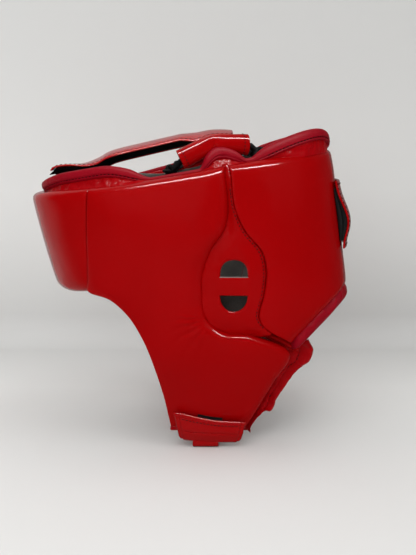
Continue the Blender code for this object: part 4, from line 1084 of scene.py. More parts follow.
def makeEarPanel():
    rim = headForm["rimHeight"]
    holes = [(leaf["barTop"] * rim, 1), (leaf["barBottom"] * rim, -1)]
    border, seamLine = leafBorder(leaf["overlap"]), leafBorder(0.0)
    loops = [border] + [holeLoop(z, d) for z, d in holes]
    extra = [holeLoop(z, d, inset) for z, d in holes for inset in (leaf["cut"], 0.0014)]
    low, high = border.min(0), border.max(0)
    pitch = leaf["spacing"]
    ys, zs = np.meshgrid(np.arange(low[0], high[0], pitch), np.arange(low[1], high[1], pitch))
    ys = ys + 0.5 * pitch * (np.arange(ys.shape[0]) % 2)[:, None]
    inner = np.stack([ys.ravel(), zs.ravel()], -1)
    inner = inner[insideLoop(inner, border) & (gapTo(inner, border) > 0.55 * pitch)]
    for z, d in holes:
        keep = holeLoop(z, d, 0.0024)
        inner = inner[~insideLoop(inner, keep) & (gapTo(inner, keep) > 0.3 * pitch)]
    points = np.concatenate(loops + extra + [inner])
    edges = []
    start = 0
    for loop in loops:
        edges += [(start + k, start + (k + 1) % len(loop)) for k in range(len(loop))]
        start += len(loop)
    verts, _, triangles, _, _, _ = delaunay_2d_cdt([Vector(p) for p in points], edges, [], 0, 1e-7)
    flat = np.array([v[:] for v in verts])
    triangles = np.array(triangles)
    centre = flat[triangles].mean(1)
    keep = insideLoop(centre, border)
    for loop in loops[1:]:
        keep &= ~insideLoop(centre, loop)
    triangles = triangles[keep]
    radius = 0.5 * leaf["thick"]
    holeGap = np.minimum(gapTo(flat, loops[1]), gapTo(flat, loops[2]))
    near = np.minimum(gapTo(flat, border), holeGap)
    inside = np.clip(1.0 - near / radius, 0.0, 1.0)
    half = radius * np.sqrt(np.maximum(0.0, 1.0 - inside ** 2))
    y, z = flat[:, 0], flat[:, 1]
    flat3 = np.stack([0 * y, y, z], -1)
    dent = leaf["dent"] * fractal(flat3, 60.0, 11, 2)
    dome = np.where(insideLoop(flat, seamLine), smooth(gapTo(flat, seamLine) / leaf["domeReach"]), 0.0)
    front, rear = (gapTo(flat, catmullLeaf(line)) for line in (earFrontLine, earRearLine[:-1]))
    out = leafOut(z) + dent + leaf["dome"] * dome + leaf["rearUp"] * smooth(front / (front + rear))
    upper, lower = sidePoint(y, z, out + half), sidePoint(y, z, out - half)
    upper[:, 1:], lower[:, 1:] = flat, flat
    count = len(flat)
    rimEdge = near < 1e-8
    lowerIndex = np.where(rimEdge, np.arange(count), np.arange(count) + count)
    faces = [tuple(int(v) for v in t) for t in triangles]
    faces += [tuple(int(lowerIndex[v]) for v in t[::-1]) for t in triangles]
    return np.concatenate([upper, lower]), faces, max(loops[1:], key=lambda loop: loop[:, 1].mean())


leafPoints, leafFaces, upperHole = makeEarPanel()
for word, side in words:
    piece = meshPiece(word + "EarPanel", mirrored(leafPoints, side), leafFaces, padLeather)
    piece.data.materials.append(paintedLitEdge)
    # polygons on the upper hole's flat edge, which faces up, get the pale colour as a painted highlight; the lower
    # hole's flat edge stays red
    for polygon in piece.data.polygons:
        spot = np.array([polygon.center[1:]])
        paintedLitFlat = abs(spot[0, 1] - upperHole[-1, 1]) < leaf["cut"]
        polygon.material_index = int(paintedLitFlat and gapTo(spot, upperHole)[0] < leaf["cut"])
    bendRear(piece, word, side, *earBend, word + "_ear_panel")

# the panel's tail: a folded strip of leather in the groove between cheek and rear pad
tailForm = {"cheek": [(0.0450, 0.426), (0.0560, 0.405), (0.0680, 0.372), (0.0810, 0.335)],
            "rear": [(0.0590, 0.458), (0.0660, 0.432), (0.0750, 0.404), (0.0850, 0.372)],
            "out": 0.0108, "fold": 0.0030, "thick": 0.0020, "run": (0.042, 0.014)}


def tailSurface(u, v):
    lines = [np.stack(sideLine(tailForm[name]), -1) for name in ("cheek", "rear")]
    cheek, rear = (catmull(line, u[:, 0] * (len(line) - 1))[:, None] for line in lines)
    flat = mix(cheek, rear, v[..., None])
    folds = bump((v - 0.36) / 0.20) + 0.9 * bump((v - 0.70) / 0.20)
    creases = 0.0005 * np.sin(26.0 * u + 5.0 * v) * bump((v - 0.5) / 0.5)
    return sidePoint(flat[..., 0], flat[..., 1], tailForm["out"] + tailForm["fold"] * folds + creases)


for word, side in words:
    piece, grid = slabFrom(word + "EarTail", tailSurface, tailForm["run"], tailForm["thick"], padLeather,
                           side, 0.0008)
    middle = grid[grid.shape[0] // 2]
    bendRear(piece, word, side, middle[len(middle) // 4], middle[3 * len(middle) // 4])
    run = catmullRun(earRearLine[:-1], 150)
    rows = headPoint(run[:, 0], run[:, 1], leafOut(run[:, 1]))
    rows = sidePoint(rows[:, 1] - leaf["stitchIn"], rows[:, 2],
                     leafOut(rows[:, 2]) + leaf["rearUp"] + 0.5 * leaf["thick"] + thread["lift"])
    stitch(word + "_rear", rows[12:-6], side, spacing=0.0026)
print("ear panels made")

# crown: laced sleeves over the ears, a bridge between them, and the strap from the front
crown = {"sleevePath": [(-0.0060, 0.0099), (0.0060, 0.0160), (0.0165, 0.0204), (0.0290, 0.0211),
                        (0.0424, 0.0207)], "sleeveOut": 0.0015, "sleeveRadius": 0.0065, "sleeveWall": 0.0014,
         "laceRadius": 0.0022, "laceFront": [(-0.0170, -0.0049), (-0.0135, 0.0011)], "laceStandoff": 0.0012,
         "laceRear": [(0.0450, 0.0200), (0.0486, 0.0168), (0.0530, 0.0140), (0.0575, 0.0100)],
         "ridge": [(0.0040, 0.0242), (0.0165, 0.0264), (0.0300, 0.0264), (0.0420, 0.0246)],
         "bridgeLeather": 0.0016, "bridgeSeat": 0.0025, "humpReach": 0.046, "strapLeather": 0.0014,
         "tape": 0.0012, "strapWidth": 0.046, "tapeWidth": 0.040, "bridgeRun": 0.038, "loopRun": 0.035,
         "strapRun": 0.150, "hookRun": 0.137, "anchorRun": 0.0172,
         "strapPath": [(-0.1070, 0.0034), (-0.1000, 0.0048), (-0.0860, 0.0056), (-0.0740, 0.0100),
                       (-0.0620, 0.0161), (-0.0330, 0.0231), (-0.0080, 0.0288)], "strapStart": -0.1095,
         "strapEnd": 0.0335, "tapeStart": -0.1112, "edgeDrop": 0.0046, "edgeFrom": -0.0930, "edgeReach": 0.022,
         "farDrop": 0.0102, "frontTilt": 0.0085, "tiltReach": 0.040, "curl": 0.0030, "curlReach": 0.0050,
         "laySlack": 0.0006,
         "anchorPath": [(-0.0200, -0.0024), (-0.0140, -0.0022), (-0.0080, -0.0006), (-0.0036, 0.0002)]}
rimZ = headForm["rimHeight"]


def sleeveRun(count):
    run = catmullRun(crown["sleevePath"], count)
    return sidePoint(run[:, 0], rimZ + run[:, 1], crown["sleeveOut"])


def sleeveShape(along, turn):
    # an oval tube with a pinch and folds at the kink, and drawn-in mouths
    oval = 1.0 + 0.10 * np.cos(2.0 * turn)
    kink = np.exp(-((along - 0.50) / 0.035) ** 2)
    pinch = 1.0 - 0.20 * kink * smooth(0.5 - 0.8 * np.cos(turn)) + 0.05 * kink * np.cos(turn)
    fold = 1.0 + 0.05 * np.sin(5.0 * turn + 9.0 * along) * np.exp(-((along - 0.46) / 0.14) ** 2)
    mouth = 1.0 + 0.08 * np.exp(-((along - 1.0) / 0.20) ** 2) + 0.04 * np.exp(-(along / 0.10) ** 2)
    return oval * pinch * fold * mouth


def makeSleeve(word, side):
    path = evenRun(sleeveRun(120), 0.0009)
    outer = tubePoints(path, crown["sleeveRadius"], 40, sleeveShape)
    inner = tubePoints(path, crown["sleeveRadius"] - crown["sleeveWall"], 40, sleeveShape)
    count, around = outer.shape[:2]
    points = np.concatenate([outer.reshape(-1, 3), inner.reshape(-1, 3)])
    faces = gridFaces(count, around, closed=True) + gridFaces(count, around, count * around, True, True)
    for row in (0, count - 1):
        for k in range(around):
            n = (k + 1) % around
            a, b = row * around + k, row * around + n
            faces.append((a, b, b + count * around, a + count * around))
    piece = meshPiece(word + "LaceSleeve", mirrored(points, side), faces, padLeather, sharp=50)
    carry(piece, "shell", word + "_lace_sleeve")
    for row in (4, count - 5):
        ring = outer[row] + (outer[row] - path[row]) * 0.01
        stitch("shell", np.concatenate([ring, ring[:1]]), side, spacing=0.0024)


def tuft(name, centre, seed, side, body, count=7, reach=0.0058, radius=0.0011):
    # a bushy knot: short looped ends of lace around a centre
    rng = np.random.default_rng(seed)
    points, faces, start = [], [], 0
    for k in range(count):
        first = rng.normal(size=3)
        first /= np.linalg.norm(first)
        other = rng.normal(size=3)
        other -= first * np.dot(first, other)
        other /= np.linalg.norm(other)
        t = np.linspace(0.0, 1.0, 14)
        size = reach * rng.uniform(0.75, 1.05)
        loop = centre + size * (np.sin(math.pi * t)[:, None] * first * 0.9 +
                                (t - 0.5)[:, None] * other * 0.9)
        rings = tubePoints(loop, radius * rng.uniform(0.9, 1.2), 8)
        points.append(rings.reshape(-1, 3))
        faces += tubeFaces(len(t), 8, start)
        start += len(t) * 8
    piece = meshPiece(name, mirrored(np.concatenate(points), side), faces, laceBlack)
    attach(piece, body)
    return piece


def laceShape(along, turn):
    return 1.0 + 0.10 * np.sin(150.0 * along + 2.0 * turn) * np.sin(150.0 * along - 2.0 * turn)


def makeLace(word, side):
    inside = -crown["laceRadius"] - crown["laceStandoff"]
    run = sleeveRun(13)
    front = np.array([sidePoint(y, rimZ + rise, inside) for y, rise in crown["laceFront"]])
    keys = np.concatenate([front, run[1:-1:2], run[-1:]])
    path = evenRun(catmullRun(keys, 120), 0.0012)
    piece = tubePiece(word + "Lace", path, crown["laceRadius"], laceBlack, side, 14, laceShape)
    carry(piece, "shell", word + "_lace")
    frontKnot = tuft(word + "FrontKnot", front[1] + np.array([0.0015, -0.001, 0.0005]), 3, side, "shell")
    share = np.linspace(0.0, 1.0, len(crown["laceRear"]))
    rear = np.array([sidePoint(y, rimZ + rise, mix(crown["sleeveOut"], inside, f))
                     for (y, rise), f in zip(crown["laceRear"], share)])
    path = evenRun(catmullRun(rear, 60), 0.0010)
    piece = tubePiece(word + "LaceEnd", path, crown["laceRadius"], laceBlack, side, 14)
    bendRear(piece, word, side, rear[0], rear[-1], word + "_lace_end")
    tuft(word + "RearKnot", rear[1] + np.array([0.001, 0.001, -0.001]), 8, side, "shell", 8)


def heightOn(path, y):
    run = catmullRun(path, 80)
    i = np.clip(np.searchsorted(run[:, 0], y) - 1, 0, len(run) - 2)
    a, b = run[i], run[i + 1]
    return rimZ + a[..., 1] + (b[..., 1] - a[..., 1]) * (y - a[..., 0]) / (b[..., 0] - a[..., 0])


def bridgeEdge(y):
    centre = sidePoint(y, heightOn(crown["sleevePath"], y), crown["sleeveOut"])
    return centre[..., 0] - crown["sleeveRadius"] - 2.0 * layers["gap"], centre[..., 2] - crown["bridgeSeat"]


def bridgePoint(x, y):
    low = bridgeEdge(y)[1]
    return np.stack([x, y, mix(low, heightOn(crown["ridge"], y), bump(x / crown["humpReach"]))], -1)


def upNormals(grid):
    normals = surfaceNormals(grid)
    return normals * np.sign(normals[..., 2:3] + 1e-9)


def bridgeSurface(u, v):
    y = mix(crown["ridge"][0][0], crown["ridge"][-1][0], u)
    return bridgePoint((2.0 * v - 1.0) * bridgeEdge(y)[0], y)


def loopTapeSurface(u, v):
    y = mix(crown["ridge"][0][0], crown["strapEnd"], u)
    rows = bridgePoint((v - 0.5) * crown["tapeWidth"], y)
    return rows + upNormals(rows) * (0.5 * crown["bridgeLeather"] + layers["gap"] + 0.5 * crown["tape"])


def strapRows(width, start, end):
    lay = (0.5 * crown["bridgeLeather"] + 2.0 * crown["tape"] + 3.0 * layers["gap"] + crown["laySlack"] +
           0.5 * crown["strapLeather"])
    freeEnd, laidStart = crown["strapPath"][-1][0], crown["ridge"][0][0]

    def surface(u, v):
        y = mix(start, end, u)
        x = (v - 0.5) * width
        seatY = np.maximum(y, laidStart)
        seat = bridgePoint(x, seatY)
        ahead = bridgePoint(x, seatY + 0.001) - seat
        across = bridgePoint(x + 0.001, seatY) - seat
        seat = seat + unit(np.cross(across, ahead)) * lay
        seat[..., 1] = y
        z = heightOn(crown["strapPath"], np.minimum(y, freeEnd))
        fromFront = y - crown["tapeStart"]
        near = crown["edgeDrop"] * smooth((y - crown["edgeFrom"]) / crown["edgeReach"])
        far = mix(crown["frontTilt"], crown["farDrop"], smooth(fromFront / crown["tiltReach"]))
        drop = np.where(x < 0.0, far, near) * (2.0 * x / crown["strapWidth"]) ** 2
        free = np.stack([x, y, z - drop - crown["curl"] * bump(fromFront / crown["curlReach"])], -1)
        share = np.clip((y - freeEnd) / (laidStart - freeEnd), 0.0, 1.0)[..., None]
        return mix(free, seat, share)
    return surface


for word, side in words:
    makeSleeve(word, side)
    makeLace(word, side)
bridgeWide = 2.0 * float(bridgeEdge(np.array(0.02))[0])
strapPiece("crownBridge", bridgeSurface, (crown["bridgeRun"], bridgeWide), crown["bridgeLeather"], "shell",
           "crown_bridge")
tapePiece("crownLoopTape", loopTapeSurface, (crown["loopRun"], crown["tapeWidth"]), crown["tape"], "shell",
          "crown_loop_tape")
strapSurface = strapRows(crown["strapWidth"], crown["strapStart"], crown["strapEnd"])
strapPiece("crownStrap", strapSurface, (crown["strapRun"], crown["strapWidth"]), crown["strapLeather"],
           "crown_strap", "crown_strap", material=crownPaintedSheenLeather)
tapeSurface = strapRows(crown["tapeWidth"], crown["tapeStart"], crown["strapEnd"])


def hookTapeSurface(u, v):
    rows = tapeSurface(u, v)
    under = 0.5 * (crown["strapLeather"] + crown["laySlack"] + crown["tape"]) + layers["gap"]
    return rows - upNormals(rows) * under


tapePiece("crownHookTape", hookTapeSurface, (crown["hookRun"], crown["tapeWidth"]), crown["tape"],
          "crown_strap", "crown_hook_tape")


def anchorSurface(u, v):
    run = catmull(crown["anchorPath"], u[:, 0] * (len(crown["anchorPath"]) - 1))
    z = (rimZ + run[:, 0])[:, None] + 0.0 * v
    out = run[:, 1][:, None] + 0.0 * v
    return headPoint(angleAtFront((v - 0.5) * crown["strapWidth"], z, out), z, out)


strapPiece("crownStrapAnchor", anchorSurface, (crown["anchorRun"], crown["strapWidth"]), crown["strapLeather"],
           "shell", "crown_strap_anchor")
for share in (0.045, 0.955):
    u = np.linspace(0.01, 0.99, 120)[:, None]
    rows = strapSurface(u, np.full_like(u, share))[:, 0]
    stitch("crown_strap", rows + np.array([0.0, 0.0, 0.5 * crown["strapLeather"] + thread["lift"]]))
print("crown made")

# rear closure strap
rearStrap = {"low": 0.151, "high": 0.203, "fold": -0.030, "root": -0.046, "tip": 0.042, "tapeInset": 0.006,
             "rootRun": 0.015, "leather": 0.0014, "rootLeather": 0.0020, "tapeHalf": 0.0003, "bow": 0.0013,
             "bowFrom": -0.004, "bowReach": 0.020}


def rearBand(xStart, xEnd, low, high, layer):
    # layer(half thickness of the tapes at each point) gives the standoff from the pad
    def surface(u, v):
        z = mix(high, low, u)
        x = mix(xStart, xEnd, v)
        lift = padOut + layer(rearTapeHalf(x, z))
        return headPoint(angleAtBack(x, z, lift), z, lift)
    return surface


def rearTapeHalf(x, z):
    # both tapes are thin at the strap's edges and bow out in between, towards the free end
    share = np.clip((rearStrap["high"] - z) / (rearStrap["high"] - rearStrap["low"]), 0.0, 1.0)
    bow = bump(2.0 * share ** 1.25 - 1.0) * smooth((x - rearStrap["bowFrom"]) / rearStrap["bowReach"])
    return rearStrap["tapeHalf"] + rearStrap["bow"] * bow


def makeRearStrap():
    gap, thick = layers["gap"], rearStrap["leather"]
    low, high, fold, end = rearStrap["low"], rearStrap["high"], rearStrap["fold"], rearStrap["tip"]
    inLow, inHigh, tip = low + rearStrap["tapeInset"], high - rearStrap["tapeInset"], end - 0.0012
    tall, wide = high - low, tip - pattern["backGap"]

    def strapLayer(half):
        return gap + 4.0 * half + 0.0004 + 0.5 * thick

    def outerLayer(half):
        return strapLayer(half) + 0.5 * thick + thread["lift"]
    band = rearBand(fold, end, low, high, strapLayer)
    strapPiece("rearStrap", band, (tall, end - fold), thick, "rear_strap", "rear_strap")
    for name, body, node, turn in (("rearHookTape", "rear_strap", "rear_hook_tape", 3.0),
                                   ("rearLoopPatch", "left_rear", "rear_loop_patch", 1.0)):

        def tapeLayer(half, turn=turn):
            return gap + turn * half + 0.0001 * (turn - 1.0)
        band = rearBand(pattern["backGap"], tip, inLow, inHigh, tapeLayer)
        us, nearU = rimmed(24, inHigh - inLow, 2.0 * rearStrap["tapeHalf"])
        vs, nearV = rimmed(14, wide, 2.0 * rearStrap["tapeHalf"])
        u, v = np.meshgrid(us, vs, indexing="ij")
        half = rearTapeHalf(mix(pattern["backGap"], tip, v), mix(inHigh, inLow, u))
        made = slab(name, band(u, v), half, loopPile)
        carry(made, body, node)
    rootLayer = gap + 0.5 * rearStrap["rootLeather"]
    root = rearBand(rearStrap["root"], fold - layers["seamGap"], low, high, lambda half: rootLayer)
    strapPiece("rearStrapRoot", root, (tall, rearStrap["rootRun"]), rearStrap["rootLeather"], "right_rear",
               "rear_strap_root")
    u = np.linspace(0.05, 0.95, 60)
    outer = rearBand(fold, end, low, high, outerLayer)
    for run in (outer(u, 0 * u + 0.955), outer(0 * u + 0.05, u)[::-1], outer(0 * u + 0.95, u)):
        stitch("rear_strap", run)
    rootFace = rootLayer + 0.5 * rearStrap["rootLeather"] + thread["lift"]
    outerRoot = rearBand(rearStrap["root"], fold, low, high, lambda half: rootFace)
    for share in (0.25, 0.6):
        stitch("right_rear", outerRoot(u, 0 * u + share))


makeRearStrap()
print("rear strap made")

# chin: tongue on the left cheek, strap under the chin, cup, and the sewn anchor on the right cheek
chin = {"strapFront": 0.0020, "strapRear": 0.0220, "leather": 0.0020, "strapTop": 0.0165, "hinge": 0.0093,
        "straight": 0.0042, "bend": 0.0036, "bendIn": 0.0006, "bendRise": 0.0006, "bendOut": 0.0046,
        "flatStart": 0.0160, "tongueFront": -0.0122, "tongueRear": 0.0430, "tongueLeather": 0.0034,
        "corner": 0.0050, "lean": 0.0022, "taper": 0.15,
        "top": [(-0.0115, 0.0294), (-0.0055, 0.0289), (0.0055, 0.0261), (0.0190, 0.0232), (0.0325, 0.0222),
                (0.0430, 0.0214)],
        "bottom": [(-0.0115, 0.0064), (0.0030, 0.0050), (0.0200, 0.0044), (0.0430, 0.0044)],
        "anchorBottom": [(-0.0115, 0.0122), (0.0430, 0.0122)], "patchFront": 0.0060, "patchRear": 0.0250,
        "sideFolds": [(0.028, 0.034, 0.0006), (0.070, 0.016, -0.0006)],
        "topFolds": [(0.06, 0.08, 0.0004), (0.15, 0.035, -0.0005)], "patchRise": 0.0013, "tongueRun": 0.020,
        "anchorRun": 0.018, "patchRun": 0.012, "hookRun": 0.010, "padRun": 0.017, "strapRun": (0.150, 0.020),
        "tape": 0.0012, "cupHalf": 0.028, "cupFront": -0.0170, "cupRear": 0.0465, "cupTop": 0.0114}


def chinEdge(name, y):
    run = catmullRun(chin[name], 60)
    return np.interp(y, run[:, 0], run[:, 1])


def cheekPlate(rise, bottom, out):
    def surface(u, v):
        y = mix(chin["patchFront"], chin["patchRear"], v)
        return sidePoint(y, mix(chinEdge("top", y) + rise, bottom, u), out)
    return surface


def tonguePlate(bottom, out):
    # bound sides, a folded top hem and one crease, with round lower corners
    wide = chin["tongueRear"] - chin["tongueFront"]

    def surface(u, v):
        y = mix(chin["tongueFront"], chin["tongueRear"], 0.5 + (v - 0.5) * (1.0 - chin["taper"] * u))
        turn = np.clip(1.0 - np.minimum(v, 1.0 - v) * wide / chin["corner"], 0.0, 1.0)
        low = chinEdge(bottom, y) + chin["corner"] * (1.0 - np.sqrt(1.0 - turn * turn))
        side = np.minimum(v, 1.0 - v)
        relief = 0.0
        for where, folds in ((side, chin["sideFolds"]), (u, chin["topFolds"])):
            for at, reach, high in folds:
                relief = relief + high * bump((where - at) / reach)
        crease = bump((u - 0.56 - 0.03 * np.sin(7.0 * v)) / 0.060) * smooth((side - 0.07) / 0.08)
        relief = relief - 0.0007 * crease + 0.0012 * np.sin(math.pi * u) * smooth(side / 0.1)
        lean = chin["lean"] * (1.0 - smooth(u / 0.6))
        return sidePoint(y, mix(chinEdge("top", y), low, u), out + relief - lean)
    return surface


def makeChin():
    gap, tape, thick, plate = layers["gap"], chin["tape"], chin["leather"], chin["tongueLeather"]
    face = layers["cheekEnd"] - 0.5 * layers["crown"]
    patchOut = face + gap + 0.5 * tape
    strapOut = face + tape + 2.0 * gap + 0.5 * thick
    tongueOut = strapOut + 0.5 * thick + gap + 0.5 * plate
    wide = chin["tongueRear"] - chin["tongueFront"]
    fine = 0.0006
    surface = tonguePlate("bottom", tongueOut)
    strapPiece("chinTongue", surface, (chin["tongueRun"], wide), plate, "chin_strap", "chin_tongue", 1, fine)
    surface = tonguePlate("anchorBottom", tongueOut)
    strapPiece("chinAnchor", surface, (chin["anchorRun"], wide), plate, "shell", "chin_anchor", -1, fine)
    patchWide = chin["patchRear"] - chin["patchFront"]
    surface = cheekPlate(chin["patchRise"], chin["strapTop"], patchOut)
    tapePiece("chinLoopPatch", surface, (chin["patchRun"], patchWide), tape, "shell", "chin_loop_patch")
    surface = cheekPlate(0.0, chin["strapTop"] + layers["seamGap"], strapOut - 0.0007)
    tapePiece("chinHookTape", surface, (chin["hookRun"], patchWide), tape, "chin_strap", "chin_hook_tape")
    inner, outer = face + gap, strapOut + 0.5 * thick
    surface = cheekPlate(0.0, chin["hinge"] + 0.0005, 0.5 * (inner + outer))
    tapePiece("chinAnchorPad", surface, (chin["padRun"], patchWide), outer - inner, "shell", "chin_anchor_pad", -1)
    middleY = 0.5 * (chin["strapFront"] + chin["strapRear"])
    floorZ = 0.5 * thick
    reach = float(sidePoint(middleY, chin["straight"], strapOut + chin["bendOut"])[0])
    rows = [sidePoint(middleY, z, strapOut + out) for z, out in zip(np.linspace(chin["strapTop"], chin["straight"], 3),
                                                                    (0.0, 0.0, chin["bendOut"]))]
    rootReach = float(sidePoint(middleY, chin["straight"], strapOut)[0])
    flat = reach - chin["flatStart"]
    run = [(reach - chin["bendIn"], floorZ + chin["bendRise"]), (reach - chin["bend"], floorZ)]
    run += [(x, floorZ) for x in np.linspace(flat, -flat, 6)]
    run += [(chin["bend"] - rootReach, floorZ), (chin["bendIn"] - rootReach, floorZ + chin["bendRise"])]
    rows += [np.array([x, middleY, z]) for x, z in run]
    rows.append(sidePoint(middleY, chin["hinge"], strapOut) * (-1.0, 1.0, 1.0))
    spine = evenRun(catmullRun(np.array(rows), 300), 0.001)
    spine[:, 2] = np.maximum(spine[:, 2], floorZ)

    def strapSurfaceChin(u, v):
        at = np.stack([np.interp(u, np.linspace(0, 1, len(spine)), spine[:, k]) for k in range(3)], -1)
        at[..., 1] = mix(chin["strapFront"], chin["strapRear"], v)
        return at
    strapPiece("chinStrap", strapSurfaceChin, chin["strapRun"], thick, "chin_strap", "chin_strap", 1, 0.0016)
    u = np.linspace(0.12, 0.88, 60)
    for side, body, bottom in ((1, "chin_strap", "bottom"), (-1, "shell", "anchorBottom")):
        outerFace = tonguePlate(bottom, tongueOut + 0.5 * plate + thread["lift"])
        for run in (outerFace(0 * u + 0.20, u), outerFace(u, 0 * u + 0.925), outerFace(u, 0 * u + 0.075)):
            stitch(body, run, side, spacing=0.0027)


def makeCup():
    # a soft pad over the strap; its feet rest before and behind the strap
    slotFront, slotRear = chin["strapFront"] - layers["gap"], chin["strapRear"] + layers["gap"]
    slotTop = chin["leather"] + layers["gap"]
    stations = np.linspace(-1.0, 1.0, 41)
    rings = []
    for share in stations:
        dome = math.sqrt(max(0.0, 1.0 - abs(share) ** 3.2))
        top = mix(slotTop + 0.0008, chin["cupTop"], dome)
        turn = np.linspace(0.0, 1.0, 40)
        y = mix(chin["cupRear"], chin["cupFront"], turn)
        edge = np.minimum(turn, 1.0 - turn) * (chin["cupRear"] - chin["cupFront"])
        z = top * np.sqrt(np.clip(1.0 - np.clip(1.0 - edge / 0.014, 0.0, 1.0) ** 2.4, 0.0, 1.0))
        z = np.maximum(z, 0.0008)
        over = np.stack([y, z], -1)
        under = np.array([(chin["cupFront"] + 0.001, 0.0), (slotFront, 0.0), (slotFront, slotTop), (slotRear, slotTop),
                          (slotRear, 0.0), (chin["cupRear"] - 0.001, 0.0)])
        ring = np.concatenate([over, under])
        rings.append(np.concatenate([np.full((len(ring), 1), share * chin["cupHalf"]), ring], 1))
    rings = np.array(rings)
    made = closedLoft("chinCup", rings, collarLeather)
    carry(made, "chin_strap", "chin_cup")


makeChin()
makeCup()
print("chin made")

# stitches along every run noted above, one mesh for each body and spacing
def stitchTree():
    tree = bpy.data.node_groups.new("stitchRow", "GeometryNodeTree")
    face = tree.interface
    face.new_socket("Geometry", in_out="INPUT", socket_type="NodeSocketGeometry")
    sockets = {}
    for label in ("Spacing", "Length", "Radius"):
        sockets[label] = face.new_socket(label, in_out="INPUT", socket_type="NodeSocketFloat").identifier
    sockets["Thread"] = face.new_socket("Thread", in_out="INPUT", socket_type="NodeSocketMaterial").identifier
    face.new_socket("Geometry", in_out="OUTPUT", socket_type="NodeSocketGeometry")
    start = wire(tree, "NodeGroupInput").outputs
    curve = wire(tree, "GeometryNodeMeshToCurve", {"Mesh": start["Geometry"]})
    even = wire(tree, "GeometryNodeResampleCurve", {"Curve": curve.outputs["Curve"], "Length": start["Spacing"]},
                mode="LENGTH")
    bead = wire(tree, "GeometryNodeMeshUVSphere", {"Segments": 6, "Rings": 5, "Radius": 1.0})
    half = maths(tree, "MULTIPLY", start["Length"], 0.5)
    size = wire(tree, "ShaderNodeCombineXYZ", {"X": half, "Y": start["Radius"], "Z": start["Radius"]})
    bead = wire(tree, "GeometryNodeTransform", {"Geometry": bead.outputs["Mesh"], "Scale": size.outputs[0]})
    tangent = wire(tree, "GeometryNodeInputTangent")
    turn = wire(tree, "FunctionNodeAlignRotationToVector", {"Vector": tangent.outputs[0]}, axis="X")
    spread = wire(tree, "GeometryNodeInstanceOnPoints", {"Points": even.outputs["Curve"],
                                                         "Instance": bead.outputs["Geometry"],
                                                        "Rotation": turn.outputs["Rotation"]})
    real = wire(tree, "GeometryNodeRealizeInstances", {"Geometry": spread.outputs["Instances"]})
    shade = wire(tree, "GeometryNodeSetShadeSmooth", {"Geometry": real.outputs["Geometry"]})
    done = wire(tree, "GeometryNodeSetMaterial", {"Geometry": shade.outputs["Geometry"], "Material": start["Thread"]})
    wire(tree, "NodeGroupOutput", {"Geometry": done.outputs["Geometry"]})
    return tree, sockets


def makeStitches():
    tree, sockets = stitchTree()
    for number, ((body, spacing), runs) in enumerate(sorted(stitchRuns.items())):
        mesh = bpy.data.meshes.new("stitchPath")
        points, edges = [], []
        for run in runs:
            edges += [(len(points) + k, len(points) + k + 1) for k in range(len(run) - 1)]
            points += run.tolist()
        mesh.from_pydata(points, edges, [])
        path = addObject("stitchPath", mesh)
        rows = path.modifiers.new("rows", "NODES")
        rows.node_group = tree
        rows[sockets["Spacing"]] = spacing
        rows[sockets["Length"]] = min(thread["length"], 0.68 * spacing)
        rows[sockets["Radius"]] = thread["radius"]
        rows[sockets["Thread"]] = threadRed
        path.update_tag()
        bpy.context.view_layer.update()
        made = bpy.data.meshes.new_from_object(path.evaluated_get(bpy.context.evaluated_depsgraph_get()))
        bpy.data.objects.remove(path, do_unlink=True)
        piece = addObject("stitches_%s_%d" % (body, number), made)
        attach(piece, body)


makeStitches()
print("stitches made")

# stage and light
# backdrop colours: the left and right pair, the high tone and the corner tone are painted shade; the two glossy
# colours are painted reflections
backdrop = {"front": (0.84, 0.84, 0.825, 1), "rear": (0.71, 0.71, 0.695, 1), "side": (-0.35, 0.40),
            "high": (0.12, 0.38), "paintedShadeHigh": (0.81, 0.81, 0.81, 1), "speck": (0.70, 0.69, 0.66, 1),
            "corner": (0.02, 0.18), "paintedCornerShade": (0.80, 0.80, 0.80, 1), "before": (-0.15, 0.15),
            "paintedReflection": (0.62, 0.62, 0.61, 1), "paintedDarkReflection": (0.03, 0.03, 0.03, 1)}
studio = {"colour": (0.92, 0.94, 0.95, 1.0), "strength": 0.24, "inGloss": 0.03}


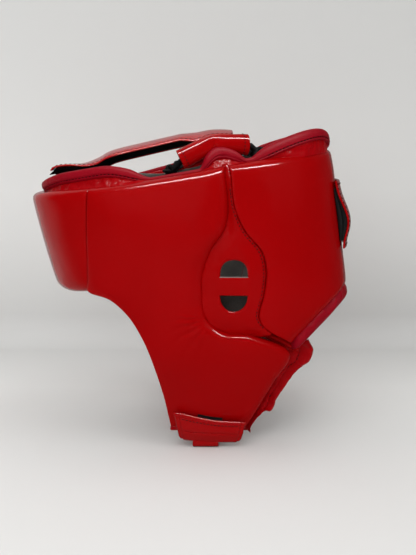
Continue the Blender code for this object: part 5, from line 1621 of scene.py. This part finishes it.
def addStage():
    steps = 12
    bend = shot["wallBend"]
    corner = [(shot["wallX"] + bend - bend * math.sin(t), bend - bend * math.cos(t))
              for t in np.linspace(0.0, 0.5 * math.pi, steps)]
    profile = [(shot["stageHalf"], 0.0)] + corner + [(shot["wallX"], shot["wallTop"])]
    points = [(x, y, z) for x, z in profile for y in (-shot["stageHalf"], shot["stageHalf"])]
    mesh = bpy.data.meshes.new("stage")
    mesh.from_pydata(points, [], gridFaces(len(profile), 2))
    mesh.shade_smooth()
    stage = addObject("stage", mesh)
    material, tree, shader, coords = startMaterial("paleBackdropPaintedShade")
    spread = wire(tree, "ShaderNodeSeparateXYZ", {"Vector": coords})
    # painted shade: the backdrop goes from the lighter colour on the left to the darker colour on the right across y
    side = rangeOf(tree, spread.outputs["Y"], *backdrop["side"], 0.0, 1.0)
    speck = rangeOf(tree, cloudOf(tree, coords, 6.0, 2.0), 0.3, 0.7, 0.0, 0.06)
    base = colourMix(tree, side, backdrop["front"], backdrop["rear"])
    # painted shade: the wall is multiplied darker from 0.12 m up to 0.38 m and above
    high = rangeOf(tree, spread.outputs["Z"], *backdrop["high"], 0.0, 1.0)
    base = colourMix(tree, high, base, backdrop["paintedShadeHigh"], "MULTIPLY")
    base = colourMix(tree, speck, base, backdrop["speck"])
    # painted shade in the corner where the floor meets the wall
    reach = maths(tree, "ADD", spread.outputs["X"], spread.outputs["Z"])
    near, far = (shot["wallX"] + away for away in backdrop["corner"])
    base = colourMix(tree, rangeOf(tree, reach, near, far, 1.0, 0.0), base, backdrop["paintedCornerShade"], "MULTIPLY")
    # glossy rays see painted reflection colours instead: grey on the left, going dark to the right and towards the
    # front
    shine = wire(tree, "ShaderNodeLightPath").outputs["Is Glossy Ray"]
    paintedReflection = colourMix(tree, side, backdrop["paintedReflection"], backdrop["paintedDarkReflection"])
    before = rangeOf(tree, spread.outputs["X"], *backdrop["before"], 0.0, 1.0)
    paintedReflection = colourMix(tree, before, paintedReflection, backdrop["paintedDarkReflection"])
    base = colourMix(tree, shine, base, paintedReflection)
    plug(tree, shader, {"Base Color": base, "Roughness": 0.9, "Specular IOR Level": 0.1})
    # the backdrop is clear from behind
    turned = wire(tree, "ShaderNodeNewGeometry").outputs["Backfacing"]
    clear = wire(tree, "ShaderNodeBsdfTransparent").outputs["BSDF"]
    seen = wire(tree, "ShaderNodeMixShader", {0: turned, 1: shader.outputs["BSDF"], 2: clear})
    tree.links.new(seen.outputs["Shader"], tree.nodes["Material Output"].inputs["Surface"])
    stage.data.materials.append(material)


lamps = {"overhead": {"place": (0.45, 0.20, 1.05), "aim": (0.0, 0.20, 0.12), "size": (1.15, 0.14), "power": 31.0,
                      "shine": True},
         "soft": {"place": (0.25, -0.10, 1.30), "aim": (0.0, 0.0, 0.0), "size": (1.5, 1.5), "power": 9.8,
                  "shine": False},
         "front": {"place": (1.25, -0.35, 0.70), "aim": (0.0, 0.0, 0.12), "size": (1.1, 1.1), "power": 9.6,
                   "shine": False},
         "behind": {"place": (0.6, 1.0, 0.7), "aim": (0.0, 0.02, 0.14), "size": (0.8, 0.8), "power": 3.4,
                    "shine": False}}


def addLamps():
    for name, lamp in lamps.items():
        data = bpy.data.lights.new(name, "AREA")
        data.shape = "RECTANGLE"
        data.size, data.size_y = lamp["size"]
        data.energy = lamp["power"]
        light = addObject(name, data)
        light.location = lamp["place"]
        light.visible_glossy = lamp["shine"]
        light.visible_diffuse = not lamp["shine"]
        aim = Vector(lamp["aim"]) - Vector(lamp["place"])
        light.rotation_euler = aim.to_track_quat("-Z", "Y").to_euler()
    world = bpy.data.worlds.new("studio")
    world.use_nodes = True
    tree = world.node_tree
    shine = wire(tree, "ShaderNodeLightPath").outputs["Is Glossy Ray"]
    strength = rangeOf(tree, shine, 0.0, 1.0, studio["strength"], studio["inGloss"])
    plug(tree, tree.nodes["Background"], {"Color": studio["colour"], "Strength": strength})
    scene.world = world


addStage()
addLamps()
print("stage lit")
